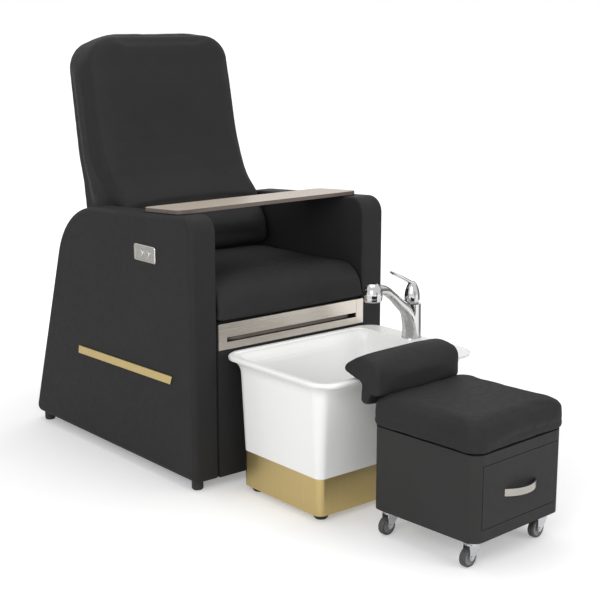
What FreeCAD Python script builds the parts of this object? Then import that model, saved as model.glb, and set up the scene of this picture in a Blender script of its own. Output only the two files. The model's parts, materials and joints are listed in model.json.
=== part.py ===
import FreeCAD
import Part
import math
import os

V = FreeCAD.Vector
X_AXIS = V(1, 0, 0)
Y_AXIS = V(0, 1, 0)
Z_AXIS = V(0, 0, 1)

# Pedicure spa chair: a reclining chair, a foot tub with a pull-out faucet, and a rolling stool.
# Millimetres. X to the sitter's left, Y to the back, Z up from the floor.
# While the pieces are built, Y is counted from the front face of the chair's arms.

# Driving dimensions: chair body
CHAIR_WIDTH = 725.0
ARM_WIDTH = 86.5
SIDE_LENGTH = 937.0
SIDE_REAR_SLOPE = 0.335
ARM_TOP = 795.0
ARM_SLOPE = 0.06
ARM_FRONT_RADIUS = 50.0
ARM_REAR_RADIUS = 235.0
SIDE_TOE_RADIUS = 22.0
ARM_EDGE_RADIUS = 16.0
ARM_INNER_EDGE_RADIUS = 8.0
PANEL_FLOOR_GAP = 28.0
CHAIR_FOOT_RADIUS = 17.0
CHAIR_FOOT_INSET = 30.0
CHAIR_FOOT_REAR_INSET = 44.0
SEAM = 0.5
INNER = CHAIR_WIDTH / 2 - ARM_WIDTH
HINGE_FROM_REAR = 287.0
HINGE_Y = SIDE_LENGTH - HINGE_FROM_REAR

# Driving dimensions: seat, apron and pull-out shelf
SEAT_BOTTOM = 485.0
SEAT_TOP = SEAT_BOTTOM + 119.0
SEAT_TO_HINGE = 150.0
SEAT_BACK = HINGE_Y - SEAT_TO_HINGE
SEAT_OVERHANG = 16.0
SEAT_WATERFALL = 95.0
SEAT_SIDE_GAP = 2.0
DECK_THICKNESS = 15.0
APRON_TOP = SEAT_BOTTOM - 1.0
APRON_HEIGHT = 76.0
APRON_THICKNESS = 5.0
APRON_PROUD = 5.0
RAIL_THICKNESS = 18.0
RAIL_BELOW_PLATE = 4.0
SLOT_MARGIN = 30.0
SLOT_HALF_WIDTH = INNER - SLOT_MARGIN
SLOT_HEIGHT = 14.0
SLOT_CENTRE = APRON_TOP - 48.0
SHELF_SIDE_GAP = 5.0
SHELF_HALF_WIDTH = SLOT_HALF_WIDTH - SHELF_SIDE_GAP
SHELF_THICKNESS = 10.0
SHELF_RECESS = 6.0
SHELF_CORNER = 38.0
SHELF_STOP_RADIUS = 7.0
TAIL_TO_HINGE = 258.0
ACTUATOR_TAIL_Y = HINGE_Y - TAIL_TO_HINGE
CROSS_RAIL = 20.0
CROSS_RAIL_Y = ACTUATOR_TAIL_Y - 42.0
SHELF_TO_RAIL = 20.0
SHELF_DEPTH = CROSS_RAIL_Y - SHELF_TO_RAIL + APRON_PROUD - SHELF_RECESS
SHELF_HELD = 70.0
SHELF_TRAVEL = SHELF_DEPTH - SHELF_HELD
GUIDE_CLEARANCE = 0.8
GUIDE_WALL = 4.0
GUIDE_LIP = 9.0
PANEL_THICKNESS = 15.0
REAR_PANEL_TOP = SEAT_BOTTOM + 15.0

# Driving dimensions: side trim and control plate
TRIM_FRONT = 104.0
TRIM_LENGTH = 519.0
TRIM_HEIGHT = 25.0
TRIM_LOW_FRONT = 301.0
TRIM_DROP = 10.0
TRIM_THICKNESS = 5.0
PLATE_FRONT = 173.0
PLATE_LENGTH = 110.0
PLATE_BELOW_ARM = 105.0
PLATE_HEIGHT = 49.0
PLATE_LOW = ARM_TOP - PLATE_BELOW_ARM - PLATE_HEIGHT
PLATE_THICKNESS = 4.0
PLATE_CORNER = 7.0
BUTTON_RADIUS = 11.0
BUTTON_PITCH = 34.0
BUTTON_PROUD = 2.5
BUTTON_TRAVEL = 3.0
BUTTON_GAP = 0.4
BUTTON_FLANGE = 2.0
BUTTON_DEPTH = 8.0
SWITCH_POCKET = 24.0

# Driving dimensions: reclining back
BACK_SIDE_GAP = 9.0
BACK_HALF_WIDTH = INNER - BACK_SIDE_GAP
BACK_LEAN = 8.4
BACK_BEHIND_HINGE = 66.0
BACK_REAR_AT_SEAT = HINGE_Y + BACK_BEHIND_HINGE
BACK_SEAT_LEVEL = SEAT_TOP - 4.0
SHELL_THICKNESS = 38.0
BACK_REAR_EDGE = 12.0
BACK_TOP = 665.0
BACK_CORNER = 100.0
BACK_EDGE = 26.0
BACK_SEAM_AT = 104.0
BACK_BOTTOM = -35.0
LUMBAR_THICKNESS = 283.0
BACK_THICKNESS = 154.0
HINGE_Z = SEAT_TOP - 59.0
HINGE_PLATE = 4.0
HINGE_PIN_RADIUS = 7.0
HINGE_FIT = 0.25
HINGE_BOSS = 24.0
RECLINE_ANGLE = 30.0
HINGE_ARM_RISE = 100.0
HINGE_ARM_FRONT = 20.0
HINGE_ARM_REAR = 42.0
LEVER_ARM = 115.0
CROSS_TUBE_RADIUS = 13.0

# Driving dimensions: recline actuator
ACTUATOR_TUBE_RADIUS = 18.0
ACTUATOR_TUBE_LENGTH = 190.0
ACTUATOR_ROD_RADIUS = 9.0
ACTUATOR_PIN_RADIUS = 6.0
ACTUATOR_SLACK = 1.2
GEARBOX_END = 64.0
GEARBOX_HALF_WIDTH = 27.0
GEARBOX_HALF_HEIGHT = 24.0
MOTOR_RADIUS = 21.0
MOTOR_LENGTH = 96.0

# Driving dimensions: lap tray
TRAY_END_INSET = 25.5
TRAY_HALF_LENGTH = CHAIR_WIDTH / 2 - TRAY_END_INSET
TRAY_FRONT = 90.0
TRAY_DEPTH = 190.0
TRAY_THICKNESS = 11.0
TRAY_CORNER = 28.0
TRAY_PAD = 2.0
TRAY_PAD_WIDTH = 30.0

# Driving dimensions: foot tub
TUB_LEFT = -235.0
TUB_RIGHT = 283.0
TUB_FRONT = -397.0
TUB_BACK = -58.0
TUB_CORNER = 22.0
PLINTH_BOTTOM = 18.0
PLINTH_TOP = 123.0
PLINTH_WALL = 2.5
PLINTH_FLANGE = 46.0
RIM_TOP = 402.0
RIM_OUT_LEFT = 40.0
RIM_LEFT = TUB_LEFT - RIM_OUT_LEFT
RIM_OUT_RIGHT = 29.0
RIM_RIGHT = TUB_RIGHT + RIM_OUT_RIGHT
RIM_OUT_FRONT = 58.0
RIM_FRONT = TUB_FRONT - RIM_OUT_FRONT
RIM_OUT_BACK = 50.0
RIM_BACK = TUB_BACK + RIM_OUT_BACK
RIM_CORNER = 60.0
TUB_WALL = 8.0
BOWL_LIP = 22.0
BOWL_DECK = 72.0
BOWL_ABOVE_PLINTH = 42.0
BOWL_FLOOR = PLINTH_TOP + BOWL_ABOVE_PLINTH
BOWL_DISH = 20.0
BOWL_SET_IN = 14.0
BOWL_EDGE = 5.0
DECK_SOLID = 10.0
TUB_DRAFT = 11.0
FLARE_HEIGHT = 56.0
FLARE_BOTTOM = RIM_TOP - FLARE_HEIGHT
RIM_LIP = 12.0
BOWL_CORNER = 34.0
TUB_FOOT_RADIUS = 20.0
TUB_FOOT_INSET = 34.0
DRAIN_X = 0.0
DRAIN_Y = (TUB_FRONT + TUB_BACK) / 2
DRAIN_HOLE = 26.0
DRAIN_PIPE_RADIUS = 20.0
DRAIN_PIPE_END = PLINTH_BOTTOM + 44.0
STRAINER_RADIUS = 38.0

# Driving dimensions: faucet
FAUCET_X = RIM_RIGHT - 36.0
FAUCET_Y = (RIM_FRONT + RIM_BACK) / 2 + 14.0
COLUMN_RADIUS = 28.0
COLUMN_TOP = RIM_TOP + 103.0
SHANK_RADIUS = 10.0
SHANK_HOLE = 11.0
NUT_ACROSS = 28.0
SHANK_LENGTH = 50.0
SPOUT_ANGLE = 36.0
SPOUT_END_X = FAUCET_X - 89.0
SPOUT_END_Z = COLUMN_TOP + 38.0
SPOUT_RADIUS = 13.4
SPOUT_BORE = 9.5
HEAD_X = FAUCET_X - 158.0
HEAD_RADIUS = 28.5
HEAD_BOTTOM = COLUMN_TOP + 27.0
HEAD_HEIGHT = 36.0
HOSE_RADIUS = 7.0
HOSE_SPARE = 6.0
HANDLE_RADIUS = 22.5
HANDLE_HEIGHT = 53.0
HANDLE_SIT = 13.0
STEM_RADIUS = 9.0
STEM_NECK = 5.0
LEVER_SOCKET = 10.5
SPRAY_PULL = 60.0
LEVER_LENGTH = 97.0
LEVER_RISE = 27.0

# Driving dimensions: rolling stool, which stands turned a little from the tub
STOOL_X = 18.0
STOOL_TURN = 3.0
STOOL_FROM_TUB = 117.0
STOOL_WIDTH = 350.0
STOOL_DEPTH = 352.0
STOOL_Y = TUB_FRONT - STOOL_FROM_TUB - STOOL_DEPTH / 2
STOOL_BOTTOM = 71.0
STOOL_HEIGHT = 226.0
STOOL_TOP = STOOL_BOTTOM + STOOL_HEIGHT
STOOL_CORNER = 32.0
STOOL_WALL = 16.0
PAD_HEIGHT = 78.0
PAD_TOP = STOOL_TOP + PAD_HEIGHT
PAD_OVERHANG = 9.0
DRAWER_SIDE_MARGIN = 27.0
DRAWER_HALF_WIDTH = STOOL_WIDTH / 2 - DRAWER_SIDE_MARGIN
DRAWER_MARGIN_LOW = 33.0
DRAWER_MARGIN_HIGH = 30.0
DRAWER_LOW = STOOL_BOTTOM + DRAWER_MARGIN_LOW
DRAWER_HIGH = STOOL_TOP - DRAWER_MARGIN_HIGH
DRAWER_GAP = 1.6
DRAWER_FRONT_THICKNESS = 18.0
DRAWER_BOX_SIDE_GAP = 13.0
DRAWER_BOX_HALF = DRAWER_HALF_WIDTH - DRAWER_BOX_SIDE_GAP
DRAWER_BACK_ROOM = 18.0
DRAWER_BOX_LENGTH = STOOL_DEPTH - DRAWER_FRONT_THICKNESS - STOOL_WALL - DRAWER_BACK_ROOM
DRAWER_BOX_LOW = DRAWER_LOW + 7.0
DRAWER_BOX_HIGH = DRAWER_HIGH - 20.0
DRAWER_WALL = 10.0
RUNNER_HEIGHT = 34.0
RUNNER_ABOVE_FLOOR = 54.0
RUNNER_LOW = DRAWER_BOX_LOW + RUNNER_ABOVE_FLOOR
RUNNER_WALL = 2.0
RUNNER_SPLIT = 0.6
RUNNER_START = 12.0
HANDLE_PULL_LENGTH = 126.0
HANDLE_PULL_HEIGHT = 19.0
HANDLE_PULL_REACH = 25.0
HANDLE_PULL_THICKNESS = 4.0
HANDLE_PULL_LEVEL = (DRAWER_LOW + DRAWER_HIGH) / 2 - 5.0

# Driving dimensions: leg rest pad, placed from the stool's rear wall and its seat pad
STOOL_REAR = STOOL_DEPTH / 2
LEG_HALF_LENGTH = 163.0
LEG_OFFSET = -14.0
LEG_OVER_STOOL = 25.0
LEG_NEAR = STOOL_REAR - LEG_OVER_STOOL
LEG_STEM_GAP = 14.0
LEG_STEM_FRONT = STOOL_REAR + LEG_STEM_GAP
LEG_STEM_THICKNESS = 33.0
LEG_BACK_FACE = LEG_STEM_FRONT + LEG_STEM_THICKNESS
LEG_REACH = 116.0
LEG_TIP = STOOL_REAR + LEG_REACH
LEG_STEM_BOTTOM = STOOL_TOP + 49.0
LEG_ABOVE_PAD = 2.0
LEG_NEAR_UNDERSIDE = PAD_TOP + LEG_ABOVE_PAD
LEG_ABOVE_RIM = 2.0
LEG_UNDERSIDE = RIM_TOP + LEG_ABOVE_RIM
LEG_THICKNESS = 101.0
LEG_TOP = PAD_TOP + LEG_THICKNESS
BRACKET_HALF_WIDTH = 60.0
BRACKET_THICKNESS = 3.0
BRACKET_FOOT_HEIGHT = 80.0
BRACKET_SCREW_PITCH = 72.0
BRACKET_LOW = STOOL_BOTTOM + 116.0
BRACKET_HIGH = LEG_STEM_BOTTOM + 24.0

# Driving dimensions: casters
WHEEL_RADIUS = 25.0
WHEEL_HALF_WIDTH = 9.0
TYRE_THICKNESS = 6.0
CASTER_INSET = 38.0
CASTER_TRAIL = 16.0
CASTER_PLATE = 4.0
CASTER_PLATE_HALF = 29.0
FORK_THICKNESS = 2.5
FORK_GAP = 1.5
FORK_TOP = STOOL_BOTTOM - 12.0
AXLE_RADIUS = 3.0
SWIVEL_RADIUS = 15.0



def box(x0, x1, y0, y1, z0, z1):
    return Part.makeBox(x1 - x0, y1 - y0, z1 - z0, V(x0, y0, z0))


def cylinder(x, y, z, axis, radius, length):
    return Part.makeCylinder(radius, length, V(x, y, z), axis)


def mirrored(shape):
    """The same piece on the other side of the chair."""
    return shape.mirror(V(0, 0, 0), X_AXIS)


def fused(shapes):
    result = shapes[0].fuse(shapes[1:])
    return result.removeSplitter()


def outline(corners, place):
    """A closed wire through corners (u, v, radius), each rounded by its own radius."""
    count = len(corners)
    spans = []
    for i in range(count):
        u, v, r = corners[i]
        before = corners[i - 1]
        after = corners[(i + 1) % count]
        a = FreeCAD.Vector(before[0] - u, before[1] - v, 0).normalize()
        b = FreeCAD.Vector(after[0] - u, after[1] - v, 0).normalize()
        half = a.getAngle(b) / 2
        reach = r / math.tan(half)
        inward = (a + b).normalize()
        drop = r / math.sin(half) - r
        spans.append(((u + a.x * reach, v + a.y * reach),
                      (u + inward.x * drop, v + inward.y * drop),
                      (u + b.x * reach, v + b.y * reach), r))
    edges = []
    for i in range(count):
        start, middle, end, r = spans[i]
        if r > 0:
            edges.append(Part.Arc(place(*start), place(*middle), place(*end)).toShape())
        following = spans[(i + 1) % count][0]
        if place(*end).distanceToPoint(place(*following)) > 1e-6:
            edges.append(Part.LineSegment(place(*end), place(*following)).toShape())
    return Part.Wire(edges)


def prism(corners, place, direction):
    """A flat outline pushed through a thickness."""
    return Part.Face(outline(corners, place)).extrude(direction)


def rectangle(x0, x1, y0, y1, r):
    return [(x0, y0, r), (x1, y0, r), (x1, y1, r), (x0, y1, r)]


def level(z):
    """Places outline points on the horizontal plane at height z."""
    return lambda u, v: V(u, v, z)


def upright(x):
    """Places outline points (y, z) on the plane across X at x."""
    return lambda u, v: V(x, u, v)


def rounded_block(x0, x1, y0, y1, z0, z1, r):
    return prism(rectangle(x0, x1, y0, y1, r), level(z0), V(0, 0, z1 - z0))


def rounded_loft(sections):
    """A body through level rounded rectangles (z, x0, x1, y0, y1, r)."""
    wires = [outline(rectangle(x0, x1, y0, y1, r), level(z)) for z, x0, x1, y0, y1, r in sections]
    return Part.makeLoft(wires, True, True)


def edges_at_x(shape, x):
    """The edges that lie wholly on the plane at x."""
    picked = []
    for edge in shape.Edges:
        if all(abs(v.X - x) < 1e-6 for v in edge.Vertexes):
            picked.append(edge)
    return picked


def side_rear(z):
    """Y of the side panel's leaning rear edge at height z."""
    return SIDE_LENGTH - SIDE_REAR_SLOPE * (z - PANEL_FLOOR_GAP)


def rearmost():
    """Y of the side panel's rounded lower rear corner, the last point of the whole set."""
    lean = math.atan(SIDE_REAR_SLOPE)
    return side_rear(PANEL_FLOOR_GAP + SIDE_TOE_RADIUS) - SIDE_TOE_RADIUS / math.cos(lean) + SIDE_TOE_RADIUS


def foremost():
    """Y of the drawer handle's bow on the turned stool, the first point of the whole set."""
    half = HANDLE_PULL_LENGTH / 2
    bow = (half ** 2 + HANDLE_PULL_REACH ** 2) / (2 * HANDLE_PULL_REACH)
    middle = bow - HANDLE_PULL_REACH - STOOL_DEPTH / 2
    return STOOL_Y + middle * math.cos(math.radians(STOOL_TURN)) - bow


def on_stool(x, y):
    """Where a point given from the stool's middle lies once the stool is turned."""
    turn = math.radians(STOOL_TURN)
    return (STOOL_X + x * math.cos(turn) - y * math.sin(turn), STOOL_Y + x * math.sin(turn) + y * math.cos(turn))


def turned_stool(shape):
    """A piece of the stool, built square to the chair, turned with the stool."""
    turned = shape.copy()
    turned.rotate(V(STOOL_X, STOOL_Y, 0), Z_AXIS, STOOL_TURN)
    return turned


def origin_shift():
    """From the chair's own origin to the middle of the whole set's floor area."""
    buttons = PLATE_THICKNESS + BUTTON_PROUD
    return V((buttons - TRIM_THICKNESS) / 2, -(foremost() + rearmost()) / 2, 0)


def arm_crest(y):
    """Height of the arm's top, which climbs towards the front."""
    return ARM_TOP - ARM_SLOPE * y


def make_side_panel():
    """Padded side and arm in one: leaning rear edge, rounded top, on the -X side."""
    top_z = (arm_crest(SIDE_LENGTH) + ARM_SLOPE * SIDE_REAR_SLOPE * -PANEL_FLOOR_GAP)
    top_z = top_z / (1 - ARM_SLOPE * SIDE_REAR_SLOPE)
    corners = [(0, PANEL_FLOOR_GAP, 6), (SIDE_LENGTH, PANEL_FLOOR_GAP, SIDE_TOE_RADIUS),
               (side_rear(top_z), top_z, ARM_REAR_RADIUS), (0, ARM_TOP, ARM_FRONT_RADIUS)]
    outer = -CHAIR_WIDTH / 2
    panel = prism(corners, upright(outer), V(ARM_WIDTH, 0, 0))
    panel = panel.makeFillet(ARM_EDGE_RADIUS, edges_at_x(panel, outer))
    return panel.makeFillet(ARM_INNER_EDGE_RADIUS, edges_at_x(panel, -INNER))


def button_places():
    """Y of the two push buttons, on the middle line of the control plate."""
    middle = PLATE_FRONT + PLATE_LENGTH / 2
    return [middle - BUTTON_PITCH / 2, middle + BUTTON_PITCH / 2]


def cut_switch_pocket(panel):
    """The hollow in the arm behind the control plate, for the two switches."""
    face = -CHAIR_WIDTH / 2
    margin = BUTTON_RADIUS + BUTTON_FLANGE + 1
    low, high = button_places()
    middle = PLATE_LOW + PLATE_HEIGHT / 2
    return panel.cut(box(face - 1, face + SWITCH_POCKET, low - margin, high + margin,
                         middle - margin, middle + margin))


def make_control_plate():
    """Chromed plate with a raised border and a shallow panel round the buttons."""
    face = -CHAIR_WIDTH / 2
    y1 = PLATE_FRONT + PLATE_LENGTH
    z1 = PLATE_LOW + PLATE_HEIGHT
    plate = prism(rectangle(PLATE_FRONT, y1, PLATE_LOW, z1, PLATE_CORNER),
                  upright(face), V(-PLATE_THICKNESS, 0, 0))
    front = edges_at_x(plate, face - PLATE_THICKNESS)
    plate = plate.makeChamfer(1.4, front)
    border = 7.0
    plate = plate.cut(prism(rectangle(PLATE_FRONT + border, y1 - border, PLATE_LOW + border, z1 - border, 4),
                            upright(face - PLATE_THICKNESS), V(0.8, 0, 0)))
    middle = PLATE_LOW + PLATE_HEIGHT / 2
    for y in button_places():
        hole = BUTTON_RADIUS + BUTTON_GAP
        plate = plate.cut(cylinder(face - 2 * PLATE_THICKNESS, y, middle, X_AXIS, hole, 3 * PLATE_THICKNESS))
    mark = box(face - PLATE_THICKNESS, face - PLATE_THICKNESS + 1.6, PLATE_FRONT + PLATE_LENGTH / 2 - 1,
               PLATE_FRONT + PLATE_LENGTH / 2 + 1, middle - 9, middle + 9)
    return plate.cut(mark)


def make_button(y):
    """Round domed push button, held behind the plate by its flange."""
    face = -CHAIR_WIDTH / 2
    middle = PLATE_LOW + PLATE_HEIGHT / 2
    tip = face - PLATE_THICKNESS - BUTTON_PROUD
    button = cylinder(tip, y, middle, X_AXIS, BUTTON_RADIUS, BUTTON_PROUD + PLATE_THICKNESS + BUTTON_DEPTH)
    button = button.makeFillet(2.2, edges_at_x(button, tip))
    flange = cylinder(face + 0.5, y, middle, X_AXIS, BUTTON_RADIUS + BUTTON_FLANGE, 2)
    return fused([button, flange])


def make_switch_block():
    """Circuit board with a sprung micro switch behind each button, in the arm's pocket."""
    face = -CHAIR_WIDTH / 2
    low, high = button_places()
    middle = PLATE_LOW + PLATE_HEIGHT / 2
    back = face + SWITCH_POCKET
    reach = BUTTON_RADIUS + BUTTON_FLANGE
    board = box(back - 4, back, low - reach, high + reach, middle - reach, middle + reach)
    pieces = [board]
    for y in (low, high):
        start = face + BUTTON_DEPTH + BUTTON_TRAVEL + BUTTON_GAP
        pieces.append(box(start, back - 4, y - 7, y + 7, middle - 7, middle + 7))
    return fused(pieces)


def make_trim_strip():
    """Flat metal strip along the outer side, climbing a little to the front."""
    rear = TRIM_FRONT + TRIM_LENGTH
    corners = [(TRIM_FRONT + 6, TRIM_LOW_FRONT, 1.5), (rear + 2, TRIM_LOW_FRONT - TRIM_DROP, 1.5),
               (rear - 3, TRIM_LOW_FRONT - TRIM_DROP + TRIM_HEIGHT, 1.5),
               (TRIM_FRONT - 4, TRIM_LOW_FRONT + TRIM_HEIGHT, 1.5)]
    face = -CHAIR_WIDTH / 2
    strip = prism(corners, upright(face), V(-TRIM_THICKNESS, 0, 0))
    return strip.makeChamfer(1.0, edges_at_x(strip, face - TRIM_THICKNESS))


def make_chair_feet():
    """Four round feet under the side panels."""
    feet = []
    x = CHAIR_WIDTH / 2 - CHAIR_FOOT_INSET
    for sx in (-x, x):
        for y in (CHAIR_FOOT_INSET, SIDE_LENGTH - CHAIR_FOOT_REAR_INSET):
            foot = Part.makeCone(CHAIR_FOOT_RADIUS - 3, CHAIR_FOOT_RADIUS, 4, V(sx, y, 0))
            foot = foot.fuse(cylinder(sx, y, 4, Z_AXIS, CHAIR_FOOT_RADIUS, PANEL_FLOOR_GAP - 4))
            feet.append(foot.removeSplitter())
    return Part.makeCompound(feet)


def make_front_panel():
    """Padded panel that closes the chair's front below the apron."""
    top = APRON_TOP - APRON_HEIGHT - SEAM
    return box(-INNER + SEAM, INNER - SEAM, -APRON_PROUD + 2, PANEL_THICKNESS - APRON_PROUD + 2,
               PANEL_FLOOR_GAP + 2, top)


def make_rear_panel():
    """Panel between the sides at the back, along their leaning rear edges."""
    inset = 14.0
    low = PANEL_FLOOR_GAP + 4
    thick = PANEL_THICKNESS
    corners = [(side_rear(low) - inset - thick, low, 1), (side_rear(low) - inset, low, 1),
               (side_rear(REAR_PANEL_TOP) - inset, REAR_PANEL_TOP, 3),
               (side_rear(REAR_PANEL_TOP) - inset - thick, REAR_PANEL_TOP, 3)]
    return prism(corners, upright(-INNER), V(2 * INNER, 0, 0))


def make_bottom_rails():
    """Two wooden cross rails that tie the side panels near the floor."""
    low = PANEL_FLOOR_GAP + 6
    front = PANEL_THICKNESS + 10
    rear = side_rear(low + 60) - 14 - PANEL_THICKNESS - 30
    rails = [box(-INNER, INNER, front, front + 30, low, low + 60),
             box(-INNER, INNER, rear - 30, rear, low, low + 60)]
    return Part.makeCompound(rails)


def shelf_level():
    return SLOT_CENTRE - SHELF_THICKNESS / 2


def make_seat_frame():
    """Front rail with the shelf slot, side cleats under the deck and the actuator's cross rail."""
    top = SEAT_BOTTOM - DECK_THICKNESS
    rail_back = RAIL_THICKNESS - APRON_PROUD + APRON_THICKNESS
    front = box(-INNER, INNER, -APRON_PROUD + APRON_THICKNESS, rail_back,
                APRON_TOP - APRON_HEIGHT, APRON_TOP - RAIL_BELOW_PLATE)
    slot = box(-SLOT_HALF_WIDTH - 3, SLOT_HALF_WIDTH + 3, -APRON_PROUD, rail_back + 1,
               SLOT_CENTRE - SLOT_HEIGHT / 2 - 2, SLOT_CENTRE + SLOT_HEIGHT / 2 + 2)
    front = front.cut(slot)
    cleat_in = SHELF_HALF_WIDTH + GUIDE_CLEARANCE + GUIDE_WALL
    cleat_low = APRON_TOP - APRON_HEIGHT
    left = box(-INNER, -cleat_in, rail_back, SEAT_BACK, cleat_low, top)
    right = mirrored(left)
    cross = box(-INNER, INNER, CROSS_RAIL_Y, CROSS_RAIL_Y + CROSS_RAIL, cleat_low - 40, top)
    rear_low = actuator_level() + ACTUATOR_TUBE_RADIUS + 3
    rear = box(-INNER, INNER, SEAT_BACK - 24, SEAT_BACK, rear_low, top)
    return fused([front, left, right, cross, rear])


def make_seat_deck():
    rail_back = RAIL_THICKNESS - APRON_PROUD + APRON_THICKNESS
    return box(-INNER, INNER, rail_back, SEAT_BACK, SEAT_BOTTOM - DECK_THICKNESS, SEAT_BOTTOM)


def make_apron_plate():
    """Metal-faced front plate with the slot that the shelf slides through."""
    back = -APRON_PROUD + APRON_THICKNESS
    plate = box(-INNER + SEAM, INNER - SEAM, -APRON_PROUD, back, APRON_TOP - APRON_HEIGHT, APRON_TOP)
    low = SLOT_CENTRE - SLOT_HEIGHT / 2
    high = SLOT_CENTRE + SLOT_HEIGHT / 2
    plate = plate.cut(box(-SLOT_HALF_WIDTH, SLOT_HALF_WIDTH, -APRON_PROUD - 1, back + 1, low, high))
    for x in (-SLOT_HALF_WIDTH - 2, SLOT_HALF_WIDTH + 2):
        line = box(x - 0.5, x + 0.5, -APRON_PROUD - 1, -APRON_PROUD + 0.6, APRON_TOP - APRON_HEIGHT - 1, APRON_TOP + 1)
        plate = plate.cut(line)
    return plate


def make_shelf_guides():
    """Two channels that the shelf's side edges run in."""
    low = shelf_level() - GUIDE_CLEARANCE
    high = shelf_level() + SHELF_THICKNESS + GUIDE_CLEARANCE
    inner = SHELF_HALF_WIDTH + GUIDE_CLEARANCE
    start = RAIL_THICKNESS - APRON_PROUD + APRON_THICKNESS
    end = CROSS_RAIL_Y - 8
    guide = box(-inner - GUIDE_WALL, -inner + GUIDE_LIP, start, end, low - GUIDE_WALL, high + GUIDE_WALL)
    guide = guide.cut(box(-inner, 0, start - 1, end + 1, low, high))
    return Part.makeCompound([guide, mirrored(guide)])


def make_shelf_board():
    front = -APRON_PROUD + SHELF_RECESS
    corners = [(-SHELF_HALF_WIDTH, front, SHELF_CORNER), (SHELF_HALF_WIDTH, front, SHELF_CORNER),
               (SHELF_HALF_WIDTH, front + SHELF_DEPTH, 4), (-SHELF_HALF_WIDTH, front + SHELF_DEPTH, 4)]
    board = prism(corners, level(shelf_level()), V(0, 0, SHELF_THICKNESS))
    for x in (-1, 1):
        hole = cylinder(x * shelf_stop_x(), shelf_stop_y(), shelf_level() - 1, Z_AXIS, 3, SHELF_THICKNESS + 2)
        board = board.cut(hole)
    return board


def shelf_stop_x():
    return SHELF_HALF_WIDTH - GUIDE_LIP - 14


def shelf_stop_y():
    """The pegs' place on the shelf: they meet the front rail at the end of its travel."""
    return RAIL_THICKNESS - APRON_PROUD + APRON_THICKNESS + SHELF_STOP_RADIUS + SHELF_TRAVEL


def make_shelf_stops():
    """Two pegs through the shelf's rear corners that meet the front rail when it is pulled out."""
    pegs = []
    for x in (-1, 1):
        peg = cylinder(x * shelf_stop_x(), shelf_stop_y(), shelf_level() - 9, Z_AXIS, 3, SHELF_THICKNESS + 9)
        head = cylinder(x * shelf_stop_x(), shelf_stop_y(), shelf_level() - 9, Z_AXIS, SHELF_STOP_RADIUS, 9)
        pegs.append(fused([peg, head]))
    return Part.makeCompound(pegs)


def make_seat_cushion():
    """Seat cushion with a crown, drawn-in sides and a rounded front."""
    half = INNER - SEAT_SIDE_GAP
    wires = []
    for share, inset in ((-1.0, 24), (-0.965, 10), (-0.74, 4), (0, 0), (0.74, 4), (0.965, 10), (1.0, 24)):
        front = -SEAT_OVERHANG + inset * 0.6
        back = SEAT_BACK - inset * 0.4
        top = SEAT_TOP - inset
        corners = [(front, SEAT_BOTTOM, 12), (back, SEAT_BOTTOM, 10), (back, top - 6, 26),
                   (front, top, SEAT_WATERFALL - inset)]
        wires.append(outline(corners, upright(share * half)))
    return Part.makeLoft(wires, True, True)


def back_place(w):
    """Places outline points (x, t) on the back's cross plane at w along its lean."""
    lean = math.radians(BACK_LEAN)
    y = BACK_REAR_AT_SEAT + w * math.sin(lean)
    z = BACK_SEAT_LEVEL + w * math.cos(lean)
    return lambda u, t: V(u, y + t * math.cos(lean), z - t * math.sin(lean))


def back_width(w):
    """Half width of the back at w: straight sides, then two round upper corners."""
    above = w - (BACK_TOP - BACK_CORNER)
    if above <= 0:
        return BACK_HALF_WIDTH
    return BACK_HALF_WIDTH - BACK_CORNER + math.sqrt(max(BACK_CORNER ** 2 - above ** 2, 0))


def back_loft(sections, front_radius, rear, rear_radius):
    """A padded body through cross planes (w, thickness, side inset) of the back."""
    wires = []
    for w, thickness, inset in sections:
        half = back_width(w) - inset
        corners = [(-half, -thickness, front_radius), (half, -thickness, front_radius),
                   (half, rear, rear_radius), (-half, rear, rear_radius)]
        wires.append(outline(corners, back_place(w)))
    return Part.makeLoft(wires, True, True)


def make_back_cushion():
    """Upper back cushion, thicker towards the waist, with a soft edge at its seam."""
    slim = BACK_THICKNESS
    seam = BACK_SEAM_AT
    sections = [(seam + 1, slim + 84, 5), (seam + 10, slim + 94, 0), (seam + 30, slim + 89, 0),
                (seam + 55, slim + 76, 0), (seam + 80, slim + 62, 0), (seam + 120, slim + 42, 0),
                (seam + 173, slim + 23, 0), (seam + 225, slim + 13, 0), (seam + 276, slim + 8, 0),
                (seam + 338, slim + 5, 0), (seam + 409, slim + 1, 0)]
    steps = 6
    for i in range(steps + 1):
        turn = math.pi / 2 * i / steps
        w = BACK_TOP - BACK_CORNER + BACK_CORNER * math.sin(turn)
        sections.append((w, slim - 4 - 20 * (1 - math.cos(turn)) ** 2, 0))
    return back_loft(sections, BACK_EDGE, -SHELL_THICKNESS, 3)


def make_lumbar_roll():
    """The full roll at the waist, sewn in below the back cushion."""
    full = LUMBAR_THICKNESS
    low = BACK_BOTTOM
    sections = [(low, full - 34, 8), (low + 3, full - 18, 3), (low + 9, full - 7, 1), (low + 20, full - 1, 0),
                (low + 44, full, 0), (low + 74, full - 2, 0), (low + 104, full - 12, 0),
                (BACK_SEAM_AT - 14, full - 24, 0), (BACK_SEAM_AT - 5, full - 33, 2), (BACK_SEAM_AT - 1, full - 44, 8)]
    return back_loft(sections, BACK_EDGE, -SHELL_THICKNESS, 3)


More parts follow.
